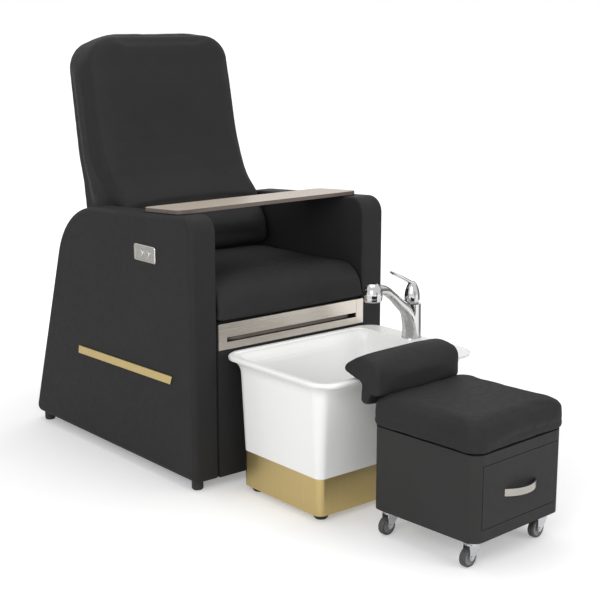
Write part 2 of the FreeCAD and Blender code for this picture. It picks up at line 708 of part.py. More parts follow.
def make_back_shell():
    """Padded rear board of the back, with rounded rear edges."""
    wires = []
    levels = [(BACK_BOTTOM, 10), (BACK_BOTTOM + 4, 4), (BACK_BOTTOM + 14, 0)]
    steps = 6
    for i in range(steps + 1):
        turn = math.pi / 2 * i / steps
        w = BACK_TOP - BACK_CORNER + BACK_CORNER * math.sin(turn)
        levels.append((w, 12 * (1 - math.cos(turn)) ** 2))
    for w, inset in levels:
        half = back_width(w)
        corners = [(-half, -SHELL_THICKNESS, 2), (half, -SHELL_THICKNESS, 2), (half, -inset, BACK_REAR_EDGE),
                   (-half, -inset, BACK_REAR_EDGE)]
        wires.append(outline(corners, back_place(w)))
    return Part.makeLoft(wires, True, True)


def lever_tip(angle):
    """Where the back's lower lever holds the actuator when the back is reclined by angle."""
    turn = math.radians(RECLINE_ANGLE / 2 - angle)
    return HINGE_Y + LEVER_ARM * math.sin(turn), HINGE_Z - LEVER_ARM * math.cos(turn)


def actuator_level():
    """Height of the actuator's axis: halfway through the lever tip's small rise."""
    return (lever_tip(0)[1] + lever_tip(RECLINE_ANGLE / 2)[1]) / 2


def make_back_hinge_arms():
    """Two side plates from the back down past the hinge, tied by a cross tube with a lug."""
    tip_y, tip_z = lever_tip(0)
    inner = BACK_HALF_WIDTH
    high = HINGE_Z + HINGE_ARM_RISE
    end = CROSS_TUBE_RADIUS + 7
    corners = [(HINGE_Y - HINGE_ARM_FRONT, high, 8), (tip_y - end, tip_z - end, 18), (tip_y + end, tip_z - end, 18),
               (HINGE_Y + HINGE_ARM_REAR - 10, HINGE_Z, 20), (HINGE_Y + HINGE_ARM_REAR, high, 8)]
    plate = prism(corners, upright(-inner - HINGE_PLATE), V(HINGE_PLATE, 0, 0))
    hole = HINGE_PIN_RADIUS + HINGE_FIT
    plate = plate.cut(cylinder(-inner - HINGE_PLATE - 1, HINGE_Y, HINGE_Z, X_AXIS, hole, HINGE_PLATE + 2))
    tube = cylinder(-inner, tip_y, tip_z, X_AXIS, CROSS_TUBE_RADIUS, 2 * inner)
    ear_half = 7.0
    slot_half = ACTUATOR_ROD_RADIUS + 6
    gap = box(-slot_half - 8, slot_half + 8, tip_y - 40, tip_y + 40, tip_z - 40, tip_z + 40)
    tube = tube.cut(gap)
    ears = []
    for side in (-1, 1):
        x = side * (slot_half + 8)
        ears.append(cylinder(x - ear_half / 2, tip_y, tip_z, X_AXIS, CROSS_TUBE_RADIUS + 4, ear_half))
    pin = cylinder(-slot_half - 8, tip_y, tip_z, X_AXIS, ACTUATOR_PIN_RADIUS, 2 * slot_half + 16)
    return fused([plate, mirrored(plate), tube, pin] + ears)


def make_recline_brackets():
    """Fixed hinge plates on the inner faces of the side panels."""
    outer = INNER
    corners = rectangle(HINGE_Y - 42, HINGE_Y + 42, HINGE_Z - 42, HINGE_Z + 42, 20)
    plate = prism(corners, upright(-outer), V(HINGE_PLATE, 0, 0))
    plate = plate.cut(cylinder(-outer - 1, HINGE_Y, HINGE_Z, X_AXIS, HINGE_PIN_RADIUS, HINGE_PLATE + 2))
    return Part.makeCompound([plate, mirrored(plate)])


def make_recline_pins():
    """Hinge pins: each stands in its bracket and carries the back's side plate."""
    inner = BACK_HALF_WIDTH
    washer_face = inner + HINGE_PLATE + 0.3
    pin = cylinder(-INNER, HINGE_Y, HINGE_Z, X_AXIS, HINGE_PIN_RADIUS, INNER - inner)
    washer = cylinder(-INNER + HINGE_PLATE, HINGE_Y, HINGE_Z, X_AXIS, HINGE_PIN_RADIUS + 5,
                      INNER - HINGE_PLATE - washer_face)
    pin = fused([pin, washer])
    return Part.makeCompound([pin, mirrored(pin)])


def rod_travel():
    """How far the rod draws in while the back reclines."""
    return lever_tip(0)[0] - lever_tip(RECLINE_ANGLE)[0]


def make_actuator_body():
    """Linear actuator: gear housing with its tail bracket, motor below and outer tube."""
    z = actuator_level()
    y = ACTUATOR_TAIL_Y
    wide = GEARBOX_HALF_WIDTH
    tall = GEARBOX_HALF_HEIGHT
    housing = rounded_block(-wide, wide, y + 14, y + GEARBOX_END, z - tall, z + tall, 8)
    tube = cylinder(0, y + 50, z, Y_AXIS, ACTUATOR_TUBE_RADIUS, ACTUATOR_TUBE_LENGTH - 50)
    bore = cylinder(0, y + GEARBOX_END, z, Y_AXIS, ACTUATOR_ROD_RADIUS + 0.4, ACTUATOR_TUBE_LENGTH)
    motor = cylinder(0, y + 22, z - tall - MOTOR_RADIUS + 6, Y_AXIS, MOTOR_RADIUS, MOTOR_LENGTH)
    lug = box(-9, 9, y - 8, y + 16, z - 12, z + 12)
    eye = cylinder(-10, y, z, X_AXIS, ACTUATOR_PIN_RADIUS + 0.3, 20)
    return fused([housing, tube, motor, lug]).cut(bore).cut(eye)


def make_actuator_mount():
    """Bracket ears on the cross rail with the pin through the actuator's tail lug."""
    z = actuator_level()
    rail = CROSS_RAIL_Y + CROSS_RAIL
    base = box(-24, 24, rail, rail + 5, z - 24, z + 24)
    ears = [box(side - 2, side + 2, rail, ACTUATOR_TAIL_Y + 8, z - 14, z + 14) for side in (-14, 14)]
    pin = cylinder(-19, ACTUATOR_TAIL_Y, z, X_AXIS, ACTUATOR_PIN_RADIUS, 38)
    return fused([base, pin] + ears)


def make_actuator_rod():
    """Sliding rod with an upright slotted eye round the lever's pin."""
    z = actuator_level()
    tip_y, tip_z = lever_tip(0)
    start = ACTUATOR_TAIL_Y + GEARBOX_END + rod_travel() + 4
    eye_r = ACTUATOR_PIN_RADIUS + 8
    rise = abs(tip_z - z) + ACTUATOR_SLACK
    rod = cylinder(0, start, z, Y_AXIS, ACTUATOR_ROD_RADIUS, tip_y - start - ACTUATOR_PIN_RADIUS - 3)
    eye = rounded_block(-8, 8, tip_y - eye_r, tip_y + eye_r, z - rise - eye_r, z + rise + eye_r, 3)
    hole_r = ACTUATOR_PIN_RADIUS + ACTUATOR_SLACK
    slot = cylinder(-9, tip_y, z - rise, X_AXIS, hole_r, 18)
    slot = slot.fuse(cylinder(-9, tip_y, z + rise, X_AXIS, hole_r, 18))
    slot = slot.fuse(box(-9, 9, tip_y - hole_r, tip_y + hole_r, z - rise, z + rise))
    return fused([rod, eye]).cut(slot)


def tilt_to_arms(shape):
    """Lays a level piece, built at Y = 0 and Z = 0, along the slope of the arm tops."""
    turned = shape.copy()
    turned.rotate(V(0, 0, 0), X_AXIS, -math.degrees(math.atan(ARM_SLOPE)))
    turned.translate(V(0, 0, ARM_TOP))
    return turned


def make_tray_board():
    corners = rectangle(-TRAY_HALF_LENGTH, TRAY_HALF_LENGTH, TRAY_FRONT, TRAY_FRONT + TRAY_DEPTH, TRAY_CORNER)
    board = prism(corners, level(TRAY_PAD), V(0, 0, TRAY_THICKNESS))
    return tilt_to_arms(board)


def make_tray_pads():
    """Rubber pads under the tray's ends, on the flat of each arm."""
    middle = (INNER + ARM_INNER_EDGE_RADIUS + CHAIR_WIDTH / 2 - ARM_EDGE_RADIUS) / 2
    pad = rounded_block(-middle - TRAY_PAD_WIDTH / 2, -middle + TRAY_PAD_WIDTH / 2,
                        TRAY_FRONT + 20, TRAY_FRONT + TRAY_DEPTH - 20, 0, TRAY_PAD, 4)
    pad = tilt_to_arms(pad)
    return Part.makeCompound([pad, mirrored(pad)])


def tub_ring(z, out, corner):
    """Section of the tub's body, set out from the plinth by out on every side."""
    return (z, TUB_LEFT - out, TUB_RIGHT + out, TUB_FRONT - out, TUB_BACK + out, corner)


def rim_ring(z, inset, corner):
    """Section near the rim, set in from the rim's edge by inset."""
    return (z, RIM_LEFT + inset, RIM_RIGHT - inset, RIM_FRONT + inset, RIM_BACK - inset, corner)


def blend_ring(z, share, corner):
    """Section between the body's top and the rim's edge, by share of the way out."""
    body = tub_ring(z, TUB_DRAFT, corner)
    rim = rim_ring(z, 0, corner)
    sides = [b + (r - b) * share for b, r in zip(body[1:5], rim[1:5])]
    return (z, sides[0], sides[1], sides[2], sides[3], corner)


def tub_skin():
    """Outer sections: drafted body, a cove that flares out, and the rounded lip of the rim."""
    sections = [tub_ring(PLINTH_TOP, 0, TUB_CORNER)]
    steps = 9
    corner = TUB_CORNER + TUB_DRAFT
    for i in range(steps + 1):
        turn = math.pi / 2 * i / steps
        z = FLARE_BOTTOM + (RIM_TOP - RIM_LIP - FLARE_BOTTOM) * math.sin(turn)
        share = 1 - math.cos(turn)
        sections.append(blend_ring(z, share * 0.97, corner + (RIM_CORNER - corner) * share))
    lip = RIM_LIP / 2
    for i in range(1, 7):
        turn = math.pi * i / 7
        z = RIM_TOP - lip - lip * math.cos(turn)
        sections.append(rim_ring(z, lip - lip * math.sin(turn), RIM_CORNER))
    sections.append(rim_ring(RIM_TOP, lip, RIM_CORNER))
    return sections


def bowl_waist():
    """The bowl's inner sides where the flare begins: a wall inside the skirt, clear of the deck."""
    thick = TUB_WALL - TUB_DRAFT
    return (TUB_LEFT + thick, RIM_RIGHT - BOWL_DECK - 4, TUB_FRONT + thick, TUB_BACK - thick)


def bowl_ring(z, share, inset):
    """Section of the bowl's inner wall, by share of the way from its waist out to its mouth."""
    mouth = (RIM_LEFT + BOWL_LIP, RIM_RIGHT - BOWL_DECK, RIM_FRONT + BOWL_LIP, RIM_BACK - BOWL_LIP)
    sides = [w + (m - w) * share for w, m in zip(bowl_waist(), mouth)]
    return (z, sides[0] + inset, sides[1] - inset, sides[2] + inset, sides[3] - inset, BOWL_CORNER)


def bowl_skin():
    """Inner sections: dished floor, leaning wall, cove below the rim and a rounded edge."""
    sections = []
    steps = 5
    for i in range(steps + 1):
        turn = math.pi / 2 * i / steps
        z = BOWL_FLOOR + BOWL_DISH * (1 - math.cos(turn))
        sections.append(bowl_ring(z, 0, BOWL_SET_IN + BOWL_DISH * (1 - math.sin(turn))))
    top = RIM_TOP - BOWL_EDGE
    steps = 6
    for i in range(steps + 1):
        turn = math.pi / 2 * i / steps
        z = FLARE_BOTTOM + (top - FLARE_BOTTOM) * math.sin(turn)
        sections.append(bowl_ring(z, 1 - math.cos(turn), 0))
    for i in range(1, 4):
        turn = math.pi / 2 * i / 3
        z = RIM_TOP - BOWL_EDGE * math.cos(turn)
        sections.append(bowl_ring(z, 1, -BOWL_EDGE * math.sin(turn)))
    sections.append(bowl_ring(RIM_TOP + 2, 1, -BOWL_EDGE))
    return sections


def tub_underside():
    """The open space below the bowl and the chamber under the faucet's deck."""
    wall = TUB_WALL
    below = PLINTH_TOP - 5
    floor = BOWL_FLOOR - wall
    room = rounded_loft([tub_ring(below, -wall, TUB_CORNER - wall + 2), tub_ring(floor, -wall, TUB_CORNER - wall + 2)])
    deck = RIM_TOP - DECK_SOLID
    inner = bowl_waist()[1] + wall
    front = TUB_FRONT + wall
    back = TUB_BACK - wall
    skirt = wall / 2
    chamber = rounded_loft([(below, inner, TUB_RIGHT - skirt, front, back, 8),
                            (FLARE_BOTTOM, inner, TUB_RIGHT + TUB_DRAFT - skirt, front, back, 8),
                            (deck, inner, TUB_RIGHT + TUB_DRAFT + skirt / 2, front, back, 8)])
    return room, chamber


def make_tub_bowl():
    """Gloss tub: flared rim, outer skirt and inner bowl in one moulding, open below."""
    tub = rounded_loft(tub_skin())
    for hollow in (rounded_loft(bowl_skin()),) + tub_underside():
        tub = tub.cut(hollow)
    tub = tub.cut(cylinder(DRAIN_X, DRAIN_Y, BOWL_FLOOR - 30, Z_AXIS, DRAIN_HOLE, 60))
    return tub.cut(cylinder(FAUCET_X, FAUCET_Y, RIM_TOP - 60, Z_AXIS, SHANK_HOLE, 80))


def make_tub_plinth():
    """Brass-finished plinth: a hollow skirt with flanges for the tub and for the feet."""
    height = PLINTH_TOP - PLINTH_BOTTOM
    skirt = rounded_block(TUB_LEFT, TUB_RIGHT, TUB_FRONT, TUB_BACK, PLINTH_BOTTOM, PLINTH_TOP, TUB_CORNER)
    wall = PLINTH_WALL
    hollow = rounded_block(TUB_LEFT + wall, TUB_RIGHT - wall, TUB_FRONT + wall, TUB_BACK - wall,
                           PLINTH_BOTTOM + wall, PLINTH_TOP - wall, TUB_CORNER - wall)
    hand = PLINTH_FLANGE
    lower = rounded_block(TUB_LEFT + hand, TUB_RIGHT - hand, TUB_FRONT + hand, TUB_BACK - hand,
                          PLINTH_BOTTOM - 1, PLINTH_BOTTOM + height / 2, TUB_CORNER)
    lip = 20.0
    upper = rounded_block(TUB_LEFT + lip, TUB_RIGHT - lip, TUB_FRONT + lip, TUB_BACK - lip,
                          PLINTH_TOP - height / 2, PLINTH_TOP + 1, TUB_CORNER)
    skirt = skirt.cut(hollow).cut(lower).cut(upper)
    for x, y in tub_foot_places():
        skirt = skirt.cut(cylinder(x, y, PLINTH_BOTTOM - 1, Z_AXIS, 5, PLINTH_WALL + 2))
    return skirt


def tub_foot_places():
    inset = TUB_FOOT_INSET
    return [(x, y) for x in (TUB_LEFT + inset, TUB_RIGHT - inset) for y in (TUB_FRONT + inset, TUB_BACK - inset)]


def make_tub_feet():
    """Four levelling feet screwed into the plinth's lower flange."""
    feet = []
    for x, y in tub_foot_places():
        pad = Part.makeCone(TUB_FOOT_RADIUS - 4, TUB_FOOT_RADIUS, 5, V(x, y, 0))
        pad = pad.fuse(cylinder(x, y, 5, Z_AXIS, TUB_FOOT_RADIUS, 8))
        stem = cylinder(x, y, 10, Z_AXIS, 5, PLINTH_BOTTOM + PLINTH_WALL)
        nut = cylinder(x, y, PLINTH_BOTTOM - 5, Z_AXIS, 9, 5)
        feet.append(fused([pad, stem, nut]))
    return Part.makeCompound(feet)


def make_drain_strainer():
    """Chromed drain grid in the bowl's floor: a flanged cup with a ring of round holes."""
    top = BOWL_FLOOR + 3
    flange = cylinder(DRAIN_X, DRAIN_Y, BOWL_FLOOR, Z_AXIS, STRAINER_RADIUS, 3)
    flange = flange.makeChamfer(1.2, [e for e in flange.Edges if abs(e.CenterOfMass.z - top) < 1e-6
                                      and e.Curve.TypeId == "Part::GeomCircle"])
    neck = cylinder(DRAIN_X, DRAIN_Y, BOWL_FLOOR - TUB_WALL - 8, Z_AXIS, DRAIN_HOLE - 0.5, TUB_WALL + 8)
    cup = fused([flange, neck])
    cup = cup.cut(cylinder(DRAIN_X, DRAIN_Y, BOWL_FLOOR - TUB_WALL - 9, Z_AXIS, DRAIN_HOLE - 3, TUB_WALL + 9))
    holes = 8
    for i in range(holes):
        turn = 2 * math.pi * i / holes
        cup = cup.cut(cylinder(DRAIN_X + 14 * math.cos(turn), DRAIN_Y + 14 * math.sin(turn),
                               BOWL_FLOOR - 1, Z_AXIS, 4, 6))
    return cup.cut(cylinder(DRAIN_X, DRAIN_Y, BOWL_FLOOR - 1, Z_AXIS, 4, 6))


def make_drain_pipe():
    """Waste nut and tail pipe below the bowl, ending inside the plinth."""
    top = BOWL_FLOOR - TUB_WALL
    nut = cylinder(DRAIN_X, DRAIN_Y, top - 8, Z_AXIS, STRAINER_RADIUS, 8)
    nut = nut.cut(cylinder(DRAIN_X, DRAIN_Y, top - 9, Z_AXIS, DRAIN_HOLE, 10))
    collar_low = top - 22
    collar = cylinder(DRAIN_X, DRAIN_Y, collar_low, Z_AXIS, STRAINER_RADIUS - 4, 14)
    pipe = cylinder(DRAIN_X, DRAIN_Y, DRAIN_PIPE_END, Z_AXIS, DRAIN_PIPE_RADIUS, collar_low + 4 - DRAIN_PIPE_END)
    bore = cylinder(DRAIN_X, DRAIN_Y, DRAIN_PIPE_END - 1, Z_AXIS, DRAIN_PIPE_RADIUS - 3, top - DRAIN_PIPE_END + 2)
    return fused([nut, collar, pipe]).cut(bore)


def spout_direction():
    turn = math.radians(SPOUT_ANGLE)
    return V(-math.cos(turn), 0, math.sin(turn))


def circle_wire(centre, axis, radius):
    return Part.Wire(Part.makeCircle(radius, centre, axis))


def spout_point(back):
    """A point on the spout's axis, back from its end."""
    way = spout_direction()
    return V(SPOUT_END_X - way.x * back, FAUCET_Y, SPOUT_END_Z - way.z * back)


def hose_inside():
    """Length of hose that stays in the spout while the spray head is seated."""
    return SPRAY_PULL + HOSE_SPARE


def make_faucet_body():
    """Column with the slanting spout that bends out of it, and the threaded shank below."""
    x, y = FAUCET_X, FAUCET_Y
    r = COLUMN_RADIUS
    foot = cylinder(x, y, RIM_TOP, Z_AXIS, r + 1, 3)
    column = Part.makeCone(r, r - 1.5, COLUMN_TOP - RIM_TOP - 3, V(x, y, RIM_TOP + 3))
    way = spout_direction()
    bend = V(x, y, RIM_TOP)
    sections = [circle_wire(bend + V(0, 0, 8), Z_AXIS, r - 5),
                circle_wire(bend + V(-2.5, 0, 38), V(-0.05, 0, 1), r - 1.5),
                circle_wire(bend + V(-9, 0, 66), V(-0.32, 0, 0.95), r - 3),
                circle_wire(V(x - 29, y, COLUMN_TOP - 11), V(-0.62, 0, 0.78), r - 9),
                circle_wire(spout_point(36) + V(0, 0, -3), V(-0.77, 0, 0.64), SPOUT_RADIUS + 1.6),
                circle_wire(spout_point(14), way, SPOUT_RADIUS + 0.3),
                circle_wire(spout_point(0), way, SPOUT_RADIUS)]
    spout = Part.makeLoft(sections, True, False)
    shank = cylinder(x, y, RIM_TOP - SHANK_LENGTH, Z_AXIS, SHANK_RADIUS, SHANK_LENGTH + 2)
    body = fused([foot, column, spout, shank])
    bore_start = spout_point(hose_inside() + HOSE_SPARE)
    body = body.cut(Part.makeCylinder(SPOUT_BORE, hose_inside() + HOSE_SPARE + 2, bore_start, way))
    seat = cylinder(x, y, stem_low(), Z_AXIS, STEM_RADIUS + 0.6, COLUMN_TOP - stem_low() + 2)
    cup = Part.makeSphere(HANDLE_RADIUS + 0.8, V(x, y, handle_level()))
    above = cylinder(x, y, handle_level(), Z_AXIS, HANDLE_RADIUS + 0.8, 2 * HANDLE_RADIUS)
    return body.cut(seat).cut(cup).cut(above)


def make_faucet_locknut():
    """Washer and hexagonal nut that clamp the faucet's shank below the deck."""
    top = RIM_TOP - DECK_SOLID
    thread = cylinder(FAUCET_X, FAUCET_Y, top - 20, Z_AXIS, SHANK_RADIUS + 0.3, 24)
    corners = []
    for i in range(6):
        turn = math.pi / 3 * (i + 0.5)
        corners.append((FAUCET_X + NUT_ACROSS / 2 * math.cos(turn), FAUCET_Y + NUT_ACROSS / 2 * math.sin(turn), 0.5))
    nut = prism(corners, level(top - 14), V(0, 0, 12))
    washer = cylinder(FAUCET_X, FAUCET_Y, top - 2, Z_AXIS, NUT_ACROSS / 2, 2)
    return fused([nut, washer]).cut(thread)


def handle_level():
    """Height of the lever's tilt axis, at the middle of its round lower end."""
    return COLUMN_TOP + HANDLE_SIT


def stem_low():
    """Foot of the cartridge stem, well below the cup that the lever's round end turns in."""
    return handle_level() - HANDLE_RADIUS - 23


def make_lever_stem():
    """Cartridge stem: turns in the column; its slim neck carries the lever's tilt pin."""
    low = stem_low() + 1
    post = cylinder(FAUCET_X, FAUCET_Y, low, Z_AXIS, STEM_RADIUS, 19)
    neck = cylinder(FAUCET_X, FAUCET_Y, low + 15, Z_AXIS, STEM_NECK, handle_level() - low - 15)
    eye = Part.makeSphere(STEM_NECK + 1, V(FAUCET_X, FAUCET_Y, handle_level()))
    pin = cylinder(FAUCET_X, FAUCET_Y - LEVER_SOCKET - 2, handle_level(), Y_AXIS, 2.5, 2 * LEVER_SOCKET + 4)
    return fused([post, neck, eye, pin])


def make_faucet_lever():
    """Lever handle: a round-bottomed egg over the stem, with a flat lever that points up."""
    z = handle_level()
    x, y = FAUCET_X, FAUCET_Y
    r = HANDLE_RADIUS
    bottom = V(0, 0, -r)
    crown = HANDLE_HEIGHT
    lower = Part.Arc(bottom, V(r * math.sin(math.pi / 4), 0, -r * math.cos(math.pi / 4)), V(r, 0, 0)).toShape()
    upper = Part.Arc(V(r, 0, 0), V(r * 0.86, 0, crown * 0.56), V(r * 0.35, 0, crown)).toShape()
    lid = Part.LineSegment(V(r * 0.35, 0, crown), V(0, 0, crown)).toShape()
    axis = Part.LineSegment(V(0, 0, crown), bottom).toShape()
    egg = Part.Face(Part.Wire([lower, upper, lid, axis])).revolve(V(0, 0, 0), Z_AXIS, 360)
    egg.translate(V(x, y, z))
    turn = math.radians(LEVER_RISE)
    out = V(-math.cos(turn), 0, math.sin(turn))
    start = V(x + 4, y, z + crown - 8)
    wires = []
    for reach, half, thick in ((0, 11, 12), (LEVER_LENGTH * 0.45, 11, 8), (LEVER_LENGTH * 0.9, 10, 7),
                               (LEVER_LENGTH + 4, 6, 5)):
        base = start + out * reach
        up = V(math.sin(turn), 0, math.cos(turn))
        place = (lambda b, w: lambda u, v: b + V(0, u, 0) + w * v)(base, up)
        wires.append(outline(rectangle(-half, half, -thick / 2, thick / 2, thick * 0.35), place))
    lever = Part.makeLoft(wires, True, False)
    handle = fused([egg, lever])
    mouth = Part.makeCone(r - 1.5, LEVER_SOCKET, r + 1, V(x, y, z - r - 1))
    socket = cylinder(x, y, z, Z_AXIS, LEVER_SOCKET, LEVER_SOCKET)
    pin_room = cylinder(x, y - LEVER_SOCKET - 3, z, Y_AXIS, 2.8, 2 * LEVER_SOCKET + 6)
    return handle.cut(mouth).cut(socket).cut(pin_room)


def make_spray_head():
    """Pull-out spray head: neck, elbow and a round downward head with a rubber-grey face."""
    way = spout_direction()
    seam = spout_point(-0.4)
    neck_end = V(HEAD_X + 22, FAUCET_Y, HEAD_BOTTOM + HEAD_HEIGHT - 6)
    first = circle_wire(seam, way, SPOUT_RADIUS)
    second = circle_wire(seam + way * 24 + V(0, 0, -1), V(-0.88, 0, 0.47), SPOUT_RADIUS + 1.2)
    third = circle_wire(neck_end, V(-0.98, 0, 0.2), SPOUT_RADIUS + 5)
    neck = Part.makeLoft([first, second, third], True, False)
    z = HEAD_BOTTOM
    r = HEAD_RADIUS
    top = HEAD_HEIGHT + 16
    points = [V(0, 0, 0), V(r - 4, 0, 0), V(r - 1, 0, 4), V(r, 0, HEAD_HEIGHT * 0.5)]
    edges = [Part.LineSegment(points[0], points[1]).toShape(), Part.LineSegment(points[1], points[2]).toShape(),
             Part.LineSegment(points[2], points[3]).toShape(),
             Part.Arc(points[3], V(r * 0.86, 0, HEAD_HEIGHT + 3), V(r * 0.4, 0, top)).toShape(),
             Part.LineSegment(V(r * 0.4, 0, top), V(0, 0, top)).toShape(),
             Part.LineSegment(V(0, 0, top), points[0]).toShape()]
    bell = Part.Face(Part.Wire(edges)).revolve(V(0, 0, 0), Z_AXIS, 360)
    bell.translate(V(HEAD_X, FAUCET_Y, z))
    head = fused([neck, bell])
    groove = cylinder(HEAD_X, FAUCET_Y, z + 10, Z_AXIS, r + 2, 1.2)
    groove = groove.cut(cylinder(HEAD_X, FAUCET_Y, z + 9, Z_AXIS, r - 1.6, 4))
    recess = cylinder(HEAD_X, FAUCET_Y, z - 1, Z_AXIS, r - 8, 3)
    return head.cut(groove).cut(recess)


def make_spray_hose():
    """The stretch of hose inside the spout, fixed to the spray head."""
    return Part.makeCylinder(HOSE_RADIUS, hose_inside(), spout_point(hose_inside()), spout_direction())


def stool_box(x0, x1, y0, y1, z0, z1):
    return box(STOOL_X + x0, STOOL_X + x1, STOOL_Y + y0, STOOL_Y + y1, z0, z1)


def make_stool_case():
    """Padded stool case with rounded corners and the drawer's compartment."""
    w = STOOL_WIDTH / 2
    d = STOOL_DEPTH / 2
    case = rounded_block(STOOL_X - w, STOOL_X + w, STOOL_Y - d, STOOL_Y + d, STOOL_BOTTOM, STOOL_TOP, STOOL_CORNER)
    wall = STOOL_WALL
    room = stool_box(-w + wall, w - wall, -d + DRAWER_FRONT_THICKNESS + DRAWER_GAP, d - wall,
                     STOOL_BOTTOM + wall, STOOL_TOP - wall)
    mouth_x = DRAWER_HALF_WIDTH + DRAWER_GAP
    mouth = stool_box(-mouth_x, mouth_x, -d - 1, 0, DRAWER_LOW - DRAWER_GAP, DRAWER_HIGH + DRAWER_GAP)
    return case.cut(room).cut(mouth)


def make_stool_cushion():
    """Stool seat pad with a crown and drawn-in lower edge."""
    w = STOOL_WIDTH / 2 + PAD_OVERHANG
    d = STOOL_DEPTH / 2 + PAD_OVERHANG - 2
    r = STOOL_CORNER + PAD_OVERHANG
    low = STOOL_TOP
    sections = []
    for z, inset in ((low, 5), (low + 12, 0.5), (low + 34, 0), (PAD_TOP - 20, 2), (PAD_TOP - 9, 9),
                     (PAD_TOP - 3, 22), (PAD_TOP, 44)):
        sections.append((z, STOOL_X - w + inset, STOOL_X + w - inset, STOOL_Y - d + inset,
                         STOOL_Y + d - inset, r))
    return rounded_loft(sections)


def leg_rest_outline(inset):
    """Side profile of the leg rest: a crowned pad with a stem that hangs behind the stool."""
    far = LEG_TIP - inset
    near = LEG_NEAR + inset * 0.4
    top = LEG_TOP - inset
    back = LEG_BACK_FACE - inset * 0.5
    low = LEG_STEM_BOTTOM + inset * 0.5
    y = STOOL_Y
    under = LEG_NEAR_UNDERSIDE + inset * 0.3
    corners = [(y + near, under, 8), (y + LEG_STEM_FRONT, under, 1),
               (y + LEG_STEM_FRONT, low, 10), (y + back, low, 13), (y + back, LEG_UNDERSIDE, 12),
               (y + far, LEG_UNDERSIDE + 24, 5), (y + far - 8, top - 30, 9),
               (y + (near + far) / 2 + 4, top + 5, 80), (y + near, top - 12, 30)]
    return corners


def make_leg_rest_pad():
    """Crowned pad with rounded ends, set a little to one side of the stool."""
    wires = []
    middle = STOOL_X + LEG_OFFSET
    for drawn_in, inset in ((0, 14), (3, 7), (9, 2), (20, 0)):
        place = upright(middle - LEG_HALF_LENGTH + drawn_in)
        wires.append(outline(leg_rest_outline(inset), place))
    for drawn_in, inset in ((20, 0), (9, 2), (3, 7), (0, 14)):
        place = upright(middle + LEG_HALF_LENGTH - drawn_in)
        wires.append(outline(leg_rest_outline(inset), place))
    return Part.makeLoft(wires, True, True)


def make_leg_rest_bracket():
    """Steel bracket from the stool's rear wall up to the pad's stem."""
    half = BRACKET_HALF_WIDTH
    wall = STOOL_DEPTH / 2
    face = LEG_STEM_FRONT - 1
    plate = stool_box(-half, half, face - BRACKET_THICKNESS, face, BRACKET_LOW, BRACKET_HIGH)
    foot = stool_box(-half + 10, half - 10, wall, face - BRACKET_THICKNESS, BRACKET_LOW, BRACKET_LOW + BRACKET_FOOT_HEIGHT)
    bracket = fused([plate, foot])
    screws = []
    for x in (-BRACKET_SCREW_PITCH / 2, BRACKET_SCREW_PITCH / 2):
        for z in (LEG_STEM_BOTTOM + 6, LEG_STEM_BOTTOM + 18):
            screws.append(cylinder(STOOL_X + x, STOOL_Y + face, z, Y_AXIS, 3, LEG_STEM_FRONT - face))
    return fused([bracket] + screws)


def make_drawer_box():
    """Open-topped drawer box."""
    half = DRAWER_BOX_HALF
    start = -STOOL_DEPTH / 2 + DRAWER_FRONT_THICKNESS
    outer = stool_box(-half, half, start, start + DRAWER_BOX_LENGTH, DRAWER_BOX_LOW, DRAWER_BOX_HIGH)
    wall = DRAWER_WALL
    return outer.cut(stool_box(-half + wall, half - wall, start + wall, start + DRAWER_BOX_LENGTH - wall,
                               DRAWER_BOX_LOW + wall, DRAWER_BOX_HIGH + 1))


def make_drawer_front():
    start = -STOOL_DEPTH / 2
    return stool_box(-DRAWER_HALF_WIDTH, DRAWER_HALF_WIDTH, start, start + DRAWER_FRONT_THICKNESS,
                     DRAWER_LOW, DRAWER_HIGH)


def make_drawer_handle():
    """Bowed flat handle with a foot at each end."""
    half = HANDLE_PULL_LENGTH / 2
    reach = HANDLE_PULL_REACH
    thick = HANDLE_PULL_THICKNESS
    face = STOOL_Y - STOOL_DEPTH / 2
    place = level(HANDLE_PULL_LEVEL - HANDLE_PULL_HEIGHT / 2)
    outer = Part.Arc(place(STOOL_X - half, face), place(STOOL_X, face - reach), place(STOOL_X + half, face)).toShape()
    inner = Part.Arc(place(STOOL_X + half - thick * 1.6, face), place(STOOL_X, face - reach + thick),
                     place(STOOL_X - half + thick * 1.6, face)).toShape()
    right = Part.LineSegment(place(STOOL_X + half, face), place(STOOL_X + half - thick * 1.6, face)).toShape()
    left = Part.LineSegment(place(STOOL_X - half + thick * 1.6, face), place(STOOL_X - half, face)).toShape()
    return Part.Face(Part.Wire([outer, right, inner, left])).extrude(V(0, 0, HANDLE_PULL_HEIGHT))


def runner_side():
    """Outer x of the drawer's slide and inner x of the fixed runner."""
    return DRAWER_BOX_HALF + (STOOL_WIDTH / 2 - STOOL_WALL - DRAWER_BOX_HALF) * 0.33


def make_drawer_runners():
    """Fixed runner channels on the inside of the stool's side walls."""
    wall = STOOL_WIDTH / 2 - STOOL_WALL
    x0 = runner_side() + RUNNER_SPLIT
    start = -STOOL_DEPTH / 2 + DRAWER_FRONT_THICKNESS + RUNNER_START
    length = DRAWER_BOX_LENGTH - 2 * RUNNER_START
    low = RUNNER_LOW
    high = RUNNER_LOW + RUNNER_HEIGHT
    channel = stool_box(-wall, -x0 + 6, start, start + length, low, high)
    channel = channel.cut(stool_box(-x0 - RUNNER_WALL, 0, start - 1, start + length + 1, low + RUNNER_WALL,
                                    high - RUNNER_WALL))
    channel = channel.cut(stool_box(-x0, 0, start - 1, start + length + 1, low - 1, high + 1))
    other = channel.mirror(V(STOOL_X, 0, 0), X_AXIS)
    return Part.makeCompound([channel, other])


